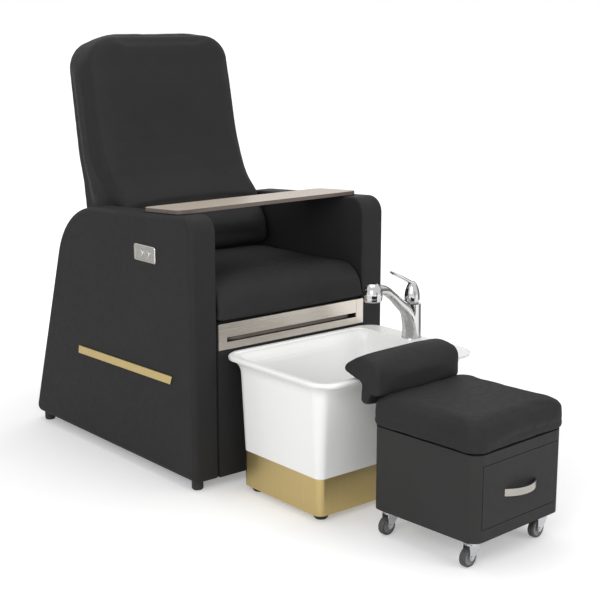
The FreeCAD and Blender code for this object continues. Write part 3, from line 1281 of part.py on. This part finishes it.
def make_drawer_slides():
    """Slide bars on the drawer's sides, running in the fixed channels."""
    start = -STOOL_DEPTH / 2 + DRAWER_FRONT_THICKNESS + RUNNER_START + 2
    length = DRAWER_BOX_LENGTH - 2 * RUNNER_START - 4
    low = RUNNER_LOW + RUNNER_WALL + RUNNER_SPLIT
    high = RUNNER_LOW + RUNNER_HEIGHT - RUNNER_WALL - RUNNER_SPLIT
    bar = stool_box(-runner_side(), -DRAWER_BOX_HALF, start, start + length, low, high)
    other = bar.mirror(V(STOOL_X, 0, 0), X_AXIS)
    return Part.makeCompound([bar, other])


def caster_places():
    """Name and swivel axis of each caster."""
    dx = STOOL_WIDTH / 2 - CASTER_INSET
    dy = STOOL_DEPTH / 2 - CASTER_INSET
    return {"front_left": (STOOL_X - dx, STOOL_Y - dy), "front_right": (STOOL_X + dx, STOOL_Y - dy),
            "rear_left": (STOOL_X - dx, STOOL_Y + dy), "rear_right": (STOOL_X + dx, STOOL_Y + dy)}


def make_caster_plates():
    """Mounting plates with the fixed half of each swivel, under the stool."""
    plates = []
    for x, y in caster_places().values():
        half = CASTER_PLATE_HALF
        low = STOOL_BOTTOM - CASTER_PLATE
        plate = rounded_block(x - half, x + half, y - half, y + half, low, STOOL_BOTTOM, 5)
        race = cylinder(x, y, FORK_TOP + 1, Z_AXIS, SWIVEL_RADIUS, low - FORK_TOP - 1)
        pin = cylinder(x, y, FORK_TOP - 7, Z_AXIS, 4, 10)
        plates.append(fused([plate, race, pin]))
    return Part.makeCompound(plates)


def make_caster_fork(x, y):
    """Pressed fork with its axle: a round top and two tapering legs."""
    inner = WHEEL_HALF_WIDTH + FORK_GAP
    outer = inner + FORK_THICKNESS
    top = FORK_TOP
    crown = cylinder(x, y, top - 4, Z_AXIS, SWIVEL_RADIUS + 3, 4)
    bridge = box(x - 17, x + 12, y - outer, y + outer, top - 4, top)
    legs = []
    for side in (-1, 1):
        corners = [(x - CASTER_TRAIL - 7, WHEEL_RADIUS - 7, 6.5), (x - CASTER_TRAIL + 7, WHEEL_RADIUS - 7, 6.5),
                   (x + 14, top - 12, 4), (x + 14, top, 1.5), (x - 22, top, 1.5), (x - 22, top - 10, 4)]
        start = y + inner if side > 0 else y - outer
        legs.append(prism(corners, lambda u, v: V(u, start, v), V(0, FORK_THICKNESS, 0)))
    axle = cylinder(x - CASTER_TRAIL, y - outer - 2, WHEEL_RADIUS, Y_AXIS, AXLE_RADIUS, 2 * outer + 4)
    heads = [cylinder(x - CASTER_TRAIL, y - outer - 2.5, WHEEL_RADIUS, Y_AXIS, 5, 2.5),
             cylinder(x - CASTER_TRAIL, y + outer, WHEEL_RADIUS, Y_AXIS, 5, 2.5)]
    fork = fused([crown, bridge, axle] + legs + heads)
    return fork.cut(cylinder(x, y, top - 8, Z_AXIS, 4.3, 10))


def make_caster_hub(x, y):
    """Moulded wheel centre with a stepped face on each side."""
    cx = x - CASTER_TRAIL
    half = WHEEL_HALF_WIDTH
    r = WHEEL_RADIUS - TYRE_THICKNESS
    hub = cylinder(cx, y - half + 1, WHEEL_RADIUS, Y_AXIS, r, 2 * half - 2)
    for start in (y - half, y + half - 3):
        ring = cylinder(cx, start, WHEEL_RADIUS, Y_AXIS, r - 3.5, 3)
        ring = ring.cut(cylinder(cx, start - 1, WHEEL_RADIUS, Y_AXIS, 7, 5))
        hub = hub.cut(ring)
    boss = cylinder(cx, y - half - 1, WHEEL_RADIUS, Y_AXIS, 5, 2 * half + 2)
    hub = fused([hub, boss])
    return hub.cut(cylinder(cx, y - half - 3, WHEEL_RADIUS, Y_AXIS, AXLE_RADIUS + 0.25, 2 * half + 6))


def make_caster_tyre(x, y):
    """Round-shouldered tyre."""
    cx = x - CASTER_TRAIL
    half = WHEEL_HALF_WIDTH
    tyre = cylinder(cx, y - half, WHEEL_RADIUS, Y_AXIS, WHEEL_RADIUS, 2 * half)
    rims = [e for e in tyre.Edges if e.Curve.TypeId == "Part::GeomCircle"]
    tyre = tyre.makeFillet(3.5, rims)
    return tyre.cut(cylinder(cx, y - half - 1, WHEEL_RADIUS, Y_AXIS, WHEEL_RADIUS - TYRE_THICKNESS, 2 * half + 2))


def all_parts():
    """Every node's name and shape, with Y still counted from the chair's front."""
    side = make_side_panel()
    low, high = button_places()
    trim = make_trim_strip()
    parts = {
        "side_panel_right": cut_switch_pocket(side),
        "side_panel_left": mirrored(side),
        "trim_strips": Part.makeCompound([trim, mirrored(trim)]),
        "chair_feet": make_chair_feet(),
        "front_panel": make_front_panel(),
        "rear_panel": make_rear_panel(),
        "base_frame": Part.makeCompound([make_seat_frame(), make_bottom_rails()]),
        "seat_deck": make_seat_deck(),
        "seat_cushion": make_seat_cushion(),
        "apron_plate": make_apron_plate(),
        "shelf_guides": make_shelf_guides(),
        "shelf_board": make_shelf_board(),
        "shelf_stops": make_shelf_stops(),
        "control_plate": make_control_plate(),
        "switch_block": make_switch_block(),
        "recline_button": make_button(high),
        "upright_button": make_button(low),
        "recline_brackets": Part.makeCompound([make_recline_brackets(), make_actuator_mount()]),
        "recline_pins": make_recline_pins(),
        "back_shell": make_back_shell(),
        "back_cushion": make_back_cushion(),
        "lumbar_roll": make_lumbar_roll(),
        "back_hinge_arms": make_back_hinge_arms(),
        "actuator_body": make_actuator_body(),
        "actuator_rod": make_actuator_rod(),
        "tray_board": make_tray_board(),
        "tray_pads": make_tray_pads(),
        "tub_bowl": make_tub_bowl(),
        "tub_plinth": make_tub_plinth(),
        "tub_feet": make_tub_feet(),
        "drain_strainer": make_drain_strainer(),
        "drain_pipe": make_drain_pipe(),
        "faucet_body": make_faucet_body(),
        "faucet_locknut": make_faucet_locknut(),
        "lever_stem": make_lever_stem(),
        "faucet_lever": make_faucet_lever(),
        "spray_head": make_spray_head(),
        "spray_hose": make_spray_hose(),
    }
    for name, shape in stool_parts().items():
        parts[name] = turned_stool(shape)
    return parts


def stool_parts():
    """The stool's nodes, still square to the chair."""
    parts = {
        "stool_case": make_stool_case(),
        "stool_cushion": make_stool_cushion(),
        "leg_rest_pad": make_leg_rest_pad(),
        "leg_rest_bracket": make_leg_rest_bracket(),
        "drawer_box": make_drawer_box(),
        "drawer_front": make_drawer_front(),
        "drawer_handle": make_drawer_handle(),
        "drawer_runners": make_drawer_runners(),
        "drawer_slides": make_drawer_slides(),
        "caster_plates": make_caster_plates(),
    }
    for name, (x, y) in caster_places().items():
        parts["caster_fork_" + name] = make_caster_fork(x, y)
        parts["caster_hub_" + name] = make_caster_hub(x, y)
        parts["caster_tyre_" + name] = make_caster_tyre(x, y)
    return parts


def export(parts):
    """Writes each node, moved so that the origin lies under the middle of the whole set."""
    os.makedirs("parts", exist_ok=True)
    for name, shape in parts.items():
        placed = shape.copy()
        placed.translate(origin_shift())
        placed.exportStep("parts/" + name + ".step")


export(all_parts())
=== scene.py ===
"""Pedicure spa chair: materials, cushions, light and camera round the frame's solids.

Metres throughout. The chair stands at +Y, the foot tub in the middle and the stool at -Y.
"""
import json
import math

import bmesh
import bpy
import numpy as np
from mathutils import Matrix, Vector


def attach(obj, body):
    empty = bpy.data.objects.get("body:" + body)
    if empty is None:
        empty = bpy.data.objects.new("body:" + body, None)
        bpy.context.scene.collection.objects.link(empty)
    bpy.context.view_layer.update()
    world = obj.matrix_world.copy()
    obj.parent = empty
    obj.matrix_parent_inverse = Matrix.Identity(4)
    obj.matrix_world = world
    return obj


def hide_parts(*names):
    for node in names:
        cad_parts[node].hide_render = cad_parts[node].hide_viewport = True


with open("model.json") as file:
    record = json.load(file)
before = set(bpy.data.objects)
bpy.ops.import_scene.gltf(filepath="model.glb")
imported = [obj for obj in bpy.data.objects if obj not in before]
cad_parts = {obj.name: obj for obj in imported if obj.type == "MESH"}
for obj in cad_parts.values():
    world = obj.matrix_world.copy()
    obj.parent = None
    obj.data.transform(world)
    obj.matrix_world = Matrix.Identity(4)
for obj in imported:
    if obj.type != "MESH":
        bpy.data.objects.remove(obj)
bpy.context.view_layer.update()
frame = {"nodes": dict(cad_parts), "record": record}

# Camera, from the photograph's fitted perspective (metres and degrees)
CAMERA_PLACE = (-2.33895, -2.86819, 1.3315)
CAMERA_AZIMUTH = -39.71
CAMERA_ELEVATION = 12.47
FOCAL_PIXELS = 1282.07
IMAGE_PIXELS = 600
SENSOR = 36.0
VIEW_END = 100.0

# Floor, and the light that it adds where it is looked at, so that all but the shadow is
# white: LIFT_NEAR up to NEAR from the middle, LIFT_FAR from FAR on
FLOOR_SIZE = 160.0
FLOOR_TONES = ((0.84, 0.84, 0.84), (0.86, 0.86, 0.86))
LIFT_NEAR = 0.26
LIFT_FAR = 0.62
NEAR = 0.9
FAR = 2.4

# Cushions: how far each starts inside its outline, and the cloth that it then becomes
SHRINK = 0.002
CLOTH_FRAMES = 16
CLOTH_QUALITY = 5
CLOTH_MASS = 0.3
CLOTH_STIFFNESS = 15
CLOTH_PRESSURE = 4.0
TRAVEL_ROUNDS = 12

# A seat pad's lower edge is sharp up to this share of the crisp height, and stands out
# by FLARE, so that it hangs over what it lies on
SHARP_SHARE = 0.3
FLARE = 0.006

# Height of the arms' tops, above which the back is fuller
ARM_LEVEL = 0.82

# Edges of rigid pieces that bend more than this stay sharp
SHARP_ANGLE = math.radians(32)

# What the cards stand round: the control plate, and the faucet's foot and column
PLATE = (-0.37, 0.45, 0.5)
FAUCET = (0.28, -0.24, 0.5)
FAUCET_COLUMN = (0.28, -0.24, 0.55)
CARD_WARMTH = (1.0, 0.96, 0.88)

# Colours, linear
CHARCOAL = (0.0235, 0.0233, 0.0235)
CHARCOAL_STOOL = (0.0245, 0.0243, 0.0246)
CASE_CHARCOAL = (0.033, 0.033, 0.0325)
GOLD = (0.53, 0.41, 0.185)
CHAMPAGNE = (0.66, 0.61, 0.55)
CHROME = (0.56, 0.56, 0.565)
NICKEL = (0.39, 0.375, 0.34)
STEEL = (0.56, 0.57, 0.58)
GEL_WHITE = (0.89, 0.89, 0.88)
TRAY_TOP = (0.52, 0.45, 0.37)
TRAY_EDGE = (0.11, 0.085, 0.075)
PLYWOOD = (0.50, 0.36, 0.20)
BLACK = (0.012, 0.012, 0.012)
GREY_PLASTIC = (0.20, 0.20, 0.21)
TYRE_GREY = (0.05, 0.049, 0.047)
WHITE = (1, 1, 1, 1)


def scaled(colour, factor):
    return tuple(c * factor for c in colour)


class Nodes:
    """A material's node tree with short calls for the nodes used here."""

    def __init__(self, name):
        self.material = bpy.data.materials.new(name)
        self.material.use_nodes = True
        self.tree = self.material.node_tree
        self.shader = self.tree.nodes["Principled BSDF"]
        self.coords = self.tree.nodes.new("ShaderNodeTexCoord")

    def link(self, a, b):
        self.tree.links.new(a, b)

    def set(self, **values):
        for name, value in values.items():
            self.shader.inputs[name.replace("_", " ")].default_value = value

    def noise(self, scale, detail=3.0, stretch=None):
        node = self.tree.nodes.new("ShaderNodeTexNoise")
        node.inputs["Scale"].default_value = scale
        node.inputs["Detail"].default_value = detail
        self.link(self.place(stretch), node.inputs["Vector"])
        return node.outputs["Fac"]

    def cells(self, scale):
        node = self.tree.nodes.new("ShaderNodeTexVoronoi")
        node.feature = "DISTANCE_TO_EDGE"
        node.inputs["Scale"].default_value = scale
        self.link(self.coords.outputs["Object"], node.inputs["Vector"])
        return node.outputs["Distance"]

    def place(self, stretch):
        if stretch is None:
            return self.coords.outputs["Object"]
        node = self.tree.nodes.new("ShaderNodeMapping")
        node.inputs["Scale"].default_value = stretch
        self.link(self.coords.outputs["Object"], node.inputs["Vector"])
        return node.outputs["Vector"]

    def remap(self, value, low, high, from_low=0.3, from_high=0.7):
        node = self.tree.nodes.new("ShaderNodeMapRange")
        node.inputs["From Min"].default_value = from_low
        node.inputs["From Max"].default_value = from_high
        node.inputs["To Min"].default_value = low
        node.inputs["To Max"].default_value = high
        self.link(value, node.inputs["Value"])
        return node.outputs["Result"]

    def share(self, value, from_low=0.3, from_high=0.7):
        """How far the value has come between two levels, from 0 to 1."""
        return self.remap(value, 0.0, 1.0, from_low, from_high)

    def mix(self, factor, a, b):
        node = self.tree.nodes.new("ShaderNodeMix")
        node.data_type = "RGBA"
        self.link(factor, node.inputs["Factor"])
        for socket, value in ((node.inputs[6], a), (node.inputs[7], b)):
            if isinstance(value, tuple):
                socket.default_value = (*value, 1.0)
            else:
                self.link(value, socket)
        return node.outputs[2]

    def shades(self, factor, colour, first, last):
        """The colour, from its first shade to its last as the factor rises."""
        return self.mix(factor, scaled(colour, first), scaled(colour, last))

    def facing(self, axis):
        """How far the surface faces along an axis of its own object, from -1 to 1."""
        node = self.tree.nodes.new("ShaderNodeSeparateXYZ")
        self.link(self.coords.outputs["Normal"], node.inputs["Vector"])
        return node.outputs[axis]

    def bump(self, height, strength, distance):
        node = self.tree.nodes.new("ShaderNodeBump")
        node.inputs["Strength"].default_value = strength
        node.inputs["Distance"].default_value = distance
        self.link(height, node.inputs["Height"])
        self.link(node.outputs["Normal"], self.shader.inputs["Normal"])

    def colour(self, value):
        self.link(value, self.shader.inputs["Base Color"])

    def roughness(self, value):
        self.link(value, self.shader.inputs["Roughness"])


def leather(name, colour, roughness=0.62):
    """Artificial leather: fine pebbled grain, faint tonal drift and uneven gloss."""
    n = Nodes(name)
    drift = n.share(n.noise(scale=7.0, detail=4.0))
    n.colour(n.shades(drift, colour, 0.95, 1.06))
    n.roughness(n.remap(n.noise(scale=60.0), roughness - 0.04, roughness + 0.05))
    pebbles = n.share(n.cells(scale=700.0), 0.0, 0.35)
    n.bump(pebbles, strength=0.1, distance=0.0002)
    n.set(Specular_IOR_Level=0.12)
    return n.material


def brushed(name, colour, roughness, stretch):
    """Brushed metal: fine lines along one direction in gloss, tone and relief."""
    n = Nodes(name)
    lines = n.noise(scale=1.0, detail=4.0, stretch=stretch)
    n.colour(n.shades(n.share(lines), colour, 0.93, 1.05))
    n.roughness(n.remap(lines, roughness - 0.05, roughness + 0.07))
    n.bump(lines, strength=0.12, distance=0.0001)
    n.set(Metallic=1.0)
    return n.material


def polished(name, colour, roughness=0.07):
    """Chrome with a slight unevenness in its tone and gloss."""
    n = Nodes(name)
    n.colour(n.shades(n.share(n.noise(scale=30.0)), colour, 0.97, 1.0))
    n.roughness(n.remap(n.noise(scale=80.0, detail=4.0), roughness - 0.02, roughness + 0.03))
    n.set(Metallic=1.0)
    return n.material


def gel_coat(name, colour):
    """Glossy white gel coat: faint cloudiness, clear coat, hardly visible ripple."""
    n = Nodes(name)
    n.colour(n.shades(n.share(n.noise(scale=5.0)), colour, 0.985, 1.0))
    n.roughness(n.remap(n.noise(scale=25.0), 0.3, 0.36))
    n.bump(n.noise(scale=14.0, detail=2.0), strength=0.01, distance=0.002)
    n.set(Coat_Weight=0.25, Coat_Roughness=0.08, Specular_IOR_Level=0.3)
    return n.material


def laminate(name, top, edge):
    """Laminated board: pale fine-grained face, dark brown-grey edge."""
    n = Nodes(name)
    grain = n.noise(scale=1.0, detail=5.0, stretch=(14.0, 260.0, 60.0))
    face = n.shades(n.share(grain), top, 0.88, 1.08)
    side = n.shades(n.share(grain), edge, 0.85, 1.15)
    up = n.share(n.facing("Z"), 0.5, 0.8)
    n.colour(n.mix(up, side, face))
    n.roughness(n.remap(grain, 0.36, 0.46))
    n.bump(grain, strength=0.06, distance=0.0002)
    return n.material


def timber(name, colour):
    """Plywood, bare or painted, with long grain."""
    n = Nodes(name)
    grain = n.noise(scale=1.0, detail=6.0, stretch=(8.0, 90.0, 90.0))
    n.colour(n.shades(n.share(grain), colour, 0.7, 1.2))
    n.roughness(n.remap(grain, 0.55, 0.75))
    n.bump(grain, strength=0.15, distance=0.0004)
    return n.material


def textured(name, colour, roughness):
    """Moulded plastic, rubber or powder paint, with a fine even texture."""
    n = Nodes(name)
    n.colour(n.shades(n.share(n.noise(scale=20.0)), colour, 0.9, 1.15))
    n.roughness(n.remap(n.noise(scale=90.0), roughness - 0.05, roughness + 0.06))
    n.bump(n.noise(scale=500.0, detail=2.0), strength=0.12, distance=0.0002)
    return n.material


MATERIALS = {
    "upholstery": leather("upholstery", CHARCOAL),
    "stool_cover": leather("stool_cover", CHARCOAL_STOOL),
    "case_board": leather("case_cover", CASE_CHARCOAL, roughness=0.6),
    "frame_wood": timber("plywood", PLYWOOD),
    "painted_wood": timber("painted_plywood", BLACK),
    "painted_steel": textured("painted_steel", BLACK, roughness=0.45),
    "tray_laminate": laminate("tray_laminate", TRAY_TOP, TRAY_EDGE),
    "champagne_metal": brushed("champagne_metal", CHAMPAGNE, 0.3, stretch=(6.0, 30.0, 700.0)),
    "gold_metal": brushed("gold_metal", GOLD, 0.33, stretch=(500.0, 500.0, 4.0)),
    "steel": brushed("zinc_steel", STEEL, 0.35, stretch=(40.0, 40.0, 300.0)),
    "nickel": brushed("brushed_nickel", NICKEL, 0.28, stretch=(20.0, 20.0, 700.0)),
    "chrome": polished("chrome", CHROME),
    "black_rubber": textured("black_rubber", BLACK, roughness=0.7),
    "grey_tyre": textured("grey_tyre", TYRE_GREY, roughness=0.55),
    "grey_plastic": textured("grey_plastic", GREY_PLASTIC, roughness=0.45),
    "black_plastic": textured("black_plastic", BLACK, roughness=0.5),
    "gloss_white": gel_coat("gloss_white", GEL_WHITE),
}

# Pieces painted black, because bare ones would shine in the gaps round the apron plate,
# behind the leg rest and under the reclined back
PAINTED = {
    "base_frame": "painted_wood",
    "seat_deck": "painted_wood",
    "leg_rest_bracket": "painted_steel",
    "back_hinge_arms": "painted_steel",
    "recline_brackets": "painted_steel",
}


def dress_nodes():
    """Gives each CAD node the material of its slot, or its paint."""
    for part in frame["record"]["subparts"]:
        piece = frame["nodes"][part["node"]]
        finish = PAINTED.get(part["node"], part["material_slot"])
        for entry in piece.material_slots:
            entry.link = "OBJECT"
            entry.material = MATERIALS[finish]


def node_mesh(*names):
    """One new mesh with the geometry of these CAD nodes."""
    merged = bmesh.new()
    for name in names:
        source = frame["nodes"][name]
        copy = source.data.copy()
        copy.transform(source.matrix_world)
        merged.from_mesh(copy)
        bpy.data.meshes.remove(copy)
    mesh = bpy.data.meshes.new("_".join(names))
    merged.to_mesh(mesh)
    merged.free()
    mesh.materials.clear()
    return mesh


def add_object(name, data):
    obj = bpy.data.objects.new(name, data)
    bpy.context.scene.collection.objects.link(obj)
    return obj


def apply_modifiers(obj):
    depsgraph = bpy.context.evaluated_depsgraph_get()
    mesh = bpy.data.meshes.new_from_object(obj.evaluated_get(depsgraph))
    old = obj.data
    obj.modifiers.clear()
    obj.data = mesh
    bpy.data.meshes.remove(old)


def coordinates(mesh):
    flat = np.empty(len(mesh.vertices) * 3)
    mesh.vertices.foreach_get("co", flat)
    return flat.reshape(-1, 3)


def set_coordinates(mesh, points):
    mesh.vertices.foreach_set("co", points.ravel())
    mesh.update()


def normals(mesh):
    flat = np.empty(len(mesh.vertices) * 3)
    mesh.vertex_normals.foreach_get("vector", flat)
    return flat.reshape(-1, 3)


def neighbour_mean(mesh, values, rounds):
    """Values at the points, averaged with their neighbours' so that no wrinkle stays."""
    ends = np.empty(len(mesh.edges) * 2, dtype=np.int64)
    mesh.edges.foreach_get("vertices", ends)
    ends = ends.reshape(-1, 2)
    count = np.bincount(ends.ravel(), minlength=len(values)).reshape(-1, 1)
    for _ in range(rounds):
        total = np.zeros_like(values)
        np.add.at(total, ends[:, 0], values[ends[:, 1]])
        np.add.at(total, ends[:, 1], values[ends[:, 0]])
        values = (values + total / np.maximum(count, 1)) / 2
    return values


def remesh(obj, voxel):
    """Turns an object's mesh into small even faces."""
    modifier = obj.modifiers.new("remesh", "REMESH")
    modifier.mode = "VOXEL"
    modifier.voxel_size = voxel
    apply_modifiers(obj)


def soften(mesh, rounds, underside, crisp):
    """Rounds a mesh off and puts it SHRINK inside its outline.

    Its edges stay sharp near the underside and flare there, over the height crisp.
    """
    tight = coordinates(mesh)
    soft = neighbour_mean(mesh, tight, rounds)
    outward = normals(mesh)
    slack = np.sum((tight - soft) * outward, axis=1, keepdims=True)
    soft = soft + outward * neighbour_mean(mesh, slack, rounds)
    if crisp > 0:
        height = (tight[:, 2:3] - underside) / crisp
        soft = tight + (soft - tight) * np.clip(height - SHARP_SHARE, 0.0, 1.0)
        low_down = np.clip(1.0 - height, 0.0, 1.0)
        soft = soft + outward * low_down * np.array((FLARE, FLARE, 0.0))
    set_coordinates(mesh, soft - outward * SHRINK)


def inflate(obj, cap):
    """Cloth under inner pressure; each point's travel is smoothed and held to the cap."""
    start = coordinates(obj.data)
    settings = obj.modifiers.new("cloth", "CLOTH").settings
    settings.quality = CLOTH_QUALITY
    settings.mass = CLOTH_MASS
    settings.tension_stiffness = CLOTH_STIFFNESS
    settings.compression_stiffness = CLOTH_STIFFNESS
    settings.use_pressure = True
    settings.uniform_pressure_force = CLOTH_PRESSURE
    settings.effector_weights.gravity = 0.0
    scene = bpy.context.scene
    scene.frame_start = 1
    scene.frame_end = CLOTH_FRAMES
    for number in range(1, CLOTH_FRAMES + 1):
        scene.frame_set(number)
    apply_modifiers(obj)
    scene.frame_set(1)
    moved = neighbour_mean(obj.data, coordinates(obj.data) - start, TRAVEL_ROUNDS)
    length = np.linalg.norm(moved, axis=1, keepdims=True)
    limit = np.minimum(1.0, cap / np.maximum(length, 1e-9))
    set_coordinates(obj.data, start + moved * limit)


def subdivide(obj):
    modifier = obj.modifiers.new("subdivide", "SUBSURF")
    modifier.levels = 1
    modifier.render_levels = 1
    apply_modifiers(obj)


def fit_to(mesh, low, high):
    """Stretches the points so that their box runs from low to high."""
    points = coordinates(mesh)
    start = points.min(axis=0)
    size = points.max(axis=0) - start
    set_coordinates(mesh, low + (points - start) * (high - low) / size)


def widen_above(mesh, start, reach, share):
    """Makes a mesh wider by this share above a height, coming on over the reach."""
    points = coordinates(mesh)
    points[:, 0] *= 1.0 + share * np.clip((points[:, 2] - start) / reach, 0.0, 1.0)
    set_coordinates(mesh, points)


def padded_piece(name, nodes, body, slot, voxel=0.007, fullness=0.003, rounds=8, crisp=0.0,
                 grow_low=(0, 0, 0), grow_high=(0, 0, 0)):
    """A cushion that replaces CAD nodes: softened, then blown up a little as cloth.

    Its box is the solids' box, grown by grow_low and grow_high.
    """
    obj = add_object(name, node_mesh(*nodes))
    outline = coordinates(obj.data)
    low = outline.min(axis=0)
    high = outline.max(axis=0)
    remesh(obj, voxel)
    soften(obj.data, rounds, low[2], crisp)
    inflate(obj, SHRINK + fullness)
    subdivide(obj)
    fit_to(obj.data, low - np.array(grow_low), high + np.array(grow_high))
    obj.data.materials.append(MATERIALS[slot])
    obj.data.shade_smooth()
    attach(obj, body)
    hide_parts(*nodes)
    return obj


def add_cushions():
    """The five cushions, grown a little where the photograph shows them fuller."""
    back_pad = padded_piece(
        "back_pad", ["back_shell", "back_cushion"], "backrest", "upholstery",
        fullness=0.005, rounds=4, grow_low=(0.006, 0, 0), grow_high=(0.006, 0.007, 0))
    widen_above(back_pad.data, start=ARM_LEVEL, reach=0.08, share=0.025)
    padded_piece(
        "lumbar_pad", ["lumbar_roll"], "backrest", "upholstery",
        fullness=0.006, rounds=5, grow_low=(0, 0.002, 0.005))
    padded_piece(
        "seat_pad", ["seat_cushion"], "chair_and_tub", "upholstery",
        rounds=4, crisp=0.03, grow_high=(0, 0.003, 0.002))
    padded_piece(
        "stool_pad", ["stool_cushion"], "stool", "stool_cover", voxel=0.005,
        fullness=0.004, rounds=3, crisp=0.02, grow_low=(0, 0, 0.004), grow_high=(0, 0, 0.006))
    padded_piece(
        "leg_pad", ["leg_rest_pad"], "stool", "stool_cover", voxel=0.005,
        fullness=0.004, rounds=4, grow_low=(-0.006, 0, 0.005), grow_high=(-0.003, 0, -0.005))


def shade_rigid():
    """Smooth shading on the carried-over pieces, sharp at their real edges."""
    for obj in frame["nodes"].values():
        if obj.type == "MESH" and not obj.hide_render:
            obj.data.shade_smooth()
            obj.data.set_sharp_from_angle(angle=SHARP_ANGLE)


def turned_to(place, target, axis):
    """Rotation that points an object's axis from its place at the target."""
    return (Vector(target) - Vector(place)).to_track_quat(axis, "Y").to_euler()


def add_camera():
    data = bpy.data.cameras.new("camera")
    data.sensor_width = SENSOR
    data.lens = FOCAL_PIXELS / IMAGE_PIXELS * SENSOR
    data.clip_end = VIEW_END
    camera = add_object("camera", data)
    camera.location = CAMERA_PLACE
    camera.rotation_euler = (math.radians(90 - CAMERA_ELEVATION), 0, math.radians(CAMERA_AZIMUTH))
    bpy.context.scene.camera = camera


def add_area(name, place, target, size, power, mirrored=True):
    """Square lamp, which polished metal shows or not."""
    data = bpy.data.lights.new(name, "AREA")
    data.shape = "SQUARE"
    data.size = size
    data.energy = power
    light = add_object(name, data)
    light.location = place
    light.visible_glossy = mirrored
    light.rotation_euler = turned_to(place, target, "-Z")


def seen_directly(tree):
    """1 on rays from the camera, a mirror or a glass, 0 on light that falls on the object."""
    path = tree.nodes.new("ShaderNodeLightPath")
    value = path.outputs["Is Camera Ray"]
    for name in ("Is Glossy Ray", "Is Transmission Ray"):
        node = tree.nodes.new("ShaderNodeMath")
        node.operation = "MAXIMUM"
        tree.links.new(value, node.inputs[0])
        tree.links.new(path.outputs[name], node.inputs[1])
        value = node.outputs[0]
    return value


def add_world(strength):
    """Grey-white dome for light; pure white where the camera or a reflection sees it."""
    world = bpy.data.worlds.new("studio")
    world.use_nodes = True
    tree = world.node_tree
    tree.nodes.clear()
    output = tree.nodes.new("ShaderNodeOutputWorld")
    mix = tree.nodes.new("ShaderNodeMixShader")
    tree.links.new(seen_directly(tree), mix.inputs[0])
    for index, level in ((1, strength), (2, 1.0)):
        dome = tree.nodes.new("ShaderNodeBackground")
        dome.inputs["Color"].default_value = WHITE
        dome.inputs["Strength"].default_value = level
        tree.links.new(dome.outputs[0], mix.inputs[index])
    tree.links.new(mix.outputs[0], output.inputs[0])
    bpy.context.scene.world = world


def add_floor():
    """Pale floor that runs out of view, white to the camera away from the object's shadow."""
    bpy.ops.mesh.primitive_plane_add(size=FLOOR_SIZE, location=(0, 0, 0))
    floor = bpy.context.object
    floor.name = "floor"
    n = Nodes("floor")
    n.colour(n.mix(n.share(n.noise(scale=3.0)), *FLOOR_TONES))
    n.set(Roughness=0.9, Specular_IOR_Level=0.1, Emission_Color=WHITE)
    away = n.tree.nodes.new("ShaderNodeVectorMath")
    away.operation = "LENGTH"
    n.link(n.coords.outputs["Object"], away.inputs[0])
    glow = n.tree.nodes.new("ShaderNodeMath")
    glow.operation = "MULTIPLY"
    n.link(seen_directly(n.tree), glow.inputs[0])
    n.link(n.remap(away.outputs["Value"], LIFT_NEAR, LIFT_FAR, NEAR, FAR), glow.inputs[1])
    n.link(glow.outputs[0], n.shader.inputs["Emission Strength"])
    floor.data.materials.append(n.material)


def add_card(name, place, target, width, height, shade):
    """Warm grey card that only mirrors see, which gives polished metal its darker streaks."""
    bpy.ops.mesh.primitive_plane_add(size=1.0, location=place)
    card = bpy.context.object
    card.name = name
    card.scale = (width, height, 1.0)
    card.rotation_euler = turned_to(place, target, "Z")
    n = Nodes(name)
    n.colour(n.shades(n.share(n.noise(scale=3.0)), scaled(CARD_WARMTH, shade), 1.0, 0.9))
    n.set(Roughness=0.9, Specular_IOR_Level=0.1)
    card.data.materials.append(n.material)
    card.visible_camera = False
    card.visible_diffuse = False
    card.visible_shadow = False


def add_studio():
    add_camera()
    add_world(strength=0.6)
    add_area("key", (-3.4, -2.2, 2.1), (0, 0, 0.5), size=2.4, power=67)
    add_area("fill", (2.2, -6.6, 2.6), (0, 0, 0.6), size=3.6, power=138, mirrored=False)
    add_area("top", (0.2, 0.4, 4.2), (0, 0, 0), size=3.0, power=38)
    add_card("card_left", (-1.35, 1.4, 0.5), PLATE, width=1.2, height=1.0, shade=0.85)
    add_card("card_front", (0.25, -1.95, 0.5), FAUCET, width=0.3, height=1.0, shade=0.03)
    add_card("card_right", (1.96, -0.53, 0.55), FAUCET_COLUMN, width=1.7, height=1.1, shade=0.36)
    add_card("card_edge", (1.75, 0.35, 0.55), FAUCET_COLUMN, width=0.5, height=1.1, shade=0.04)
    add_floor()
    bpy.context.scene.view_settings.view_transform = "Standard"


dress_nodes()
add_cushions()
shade_rigid()
add_studio()
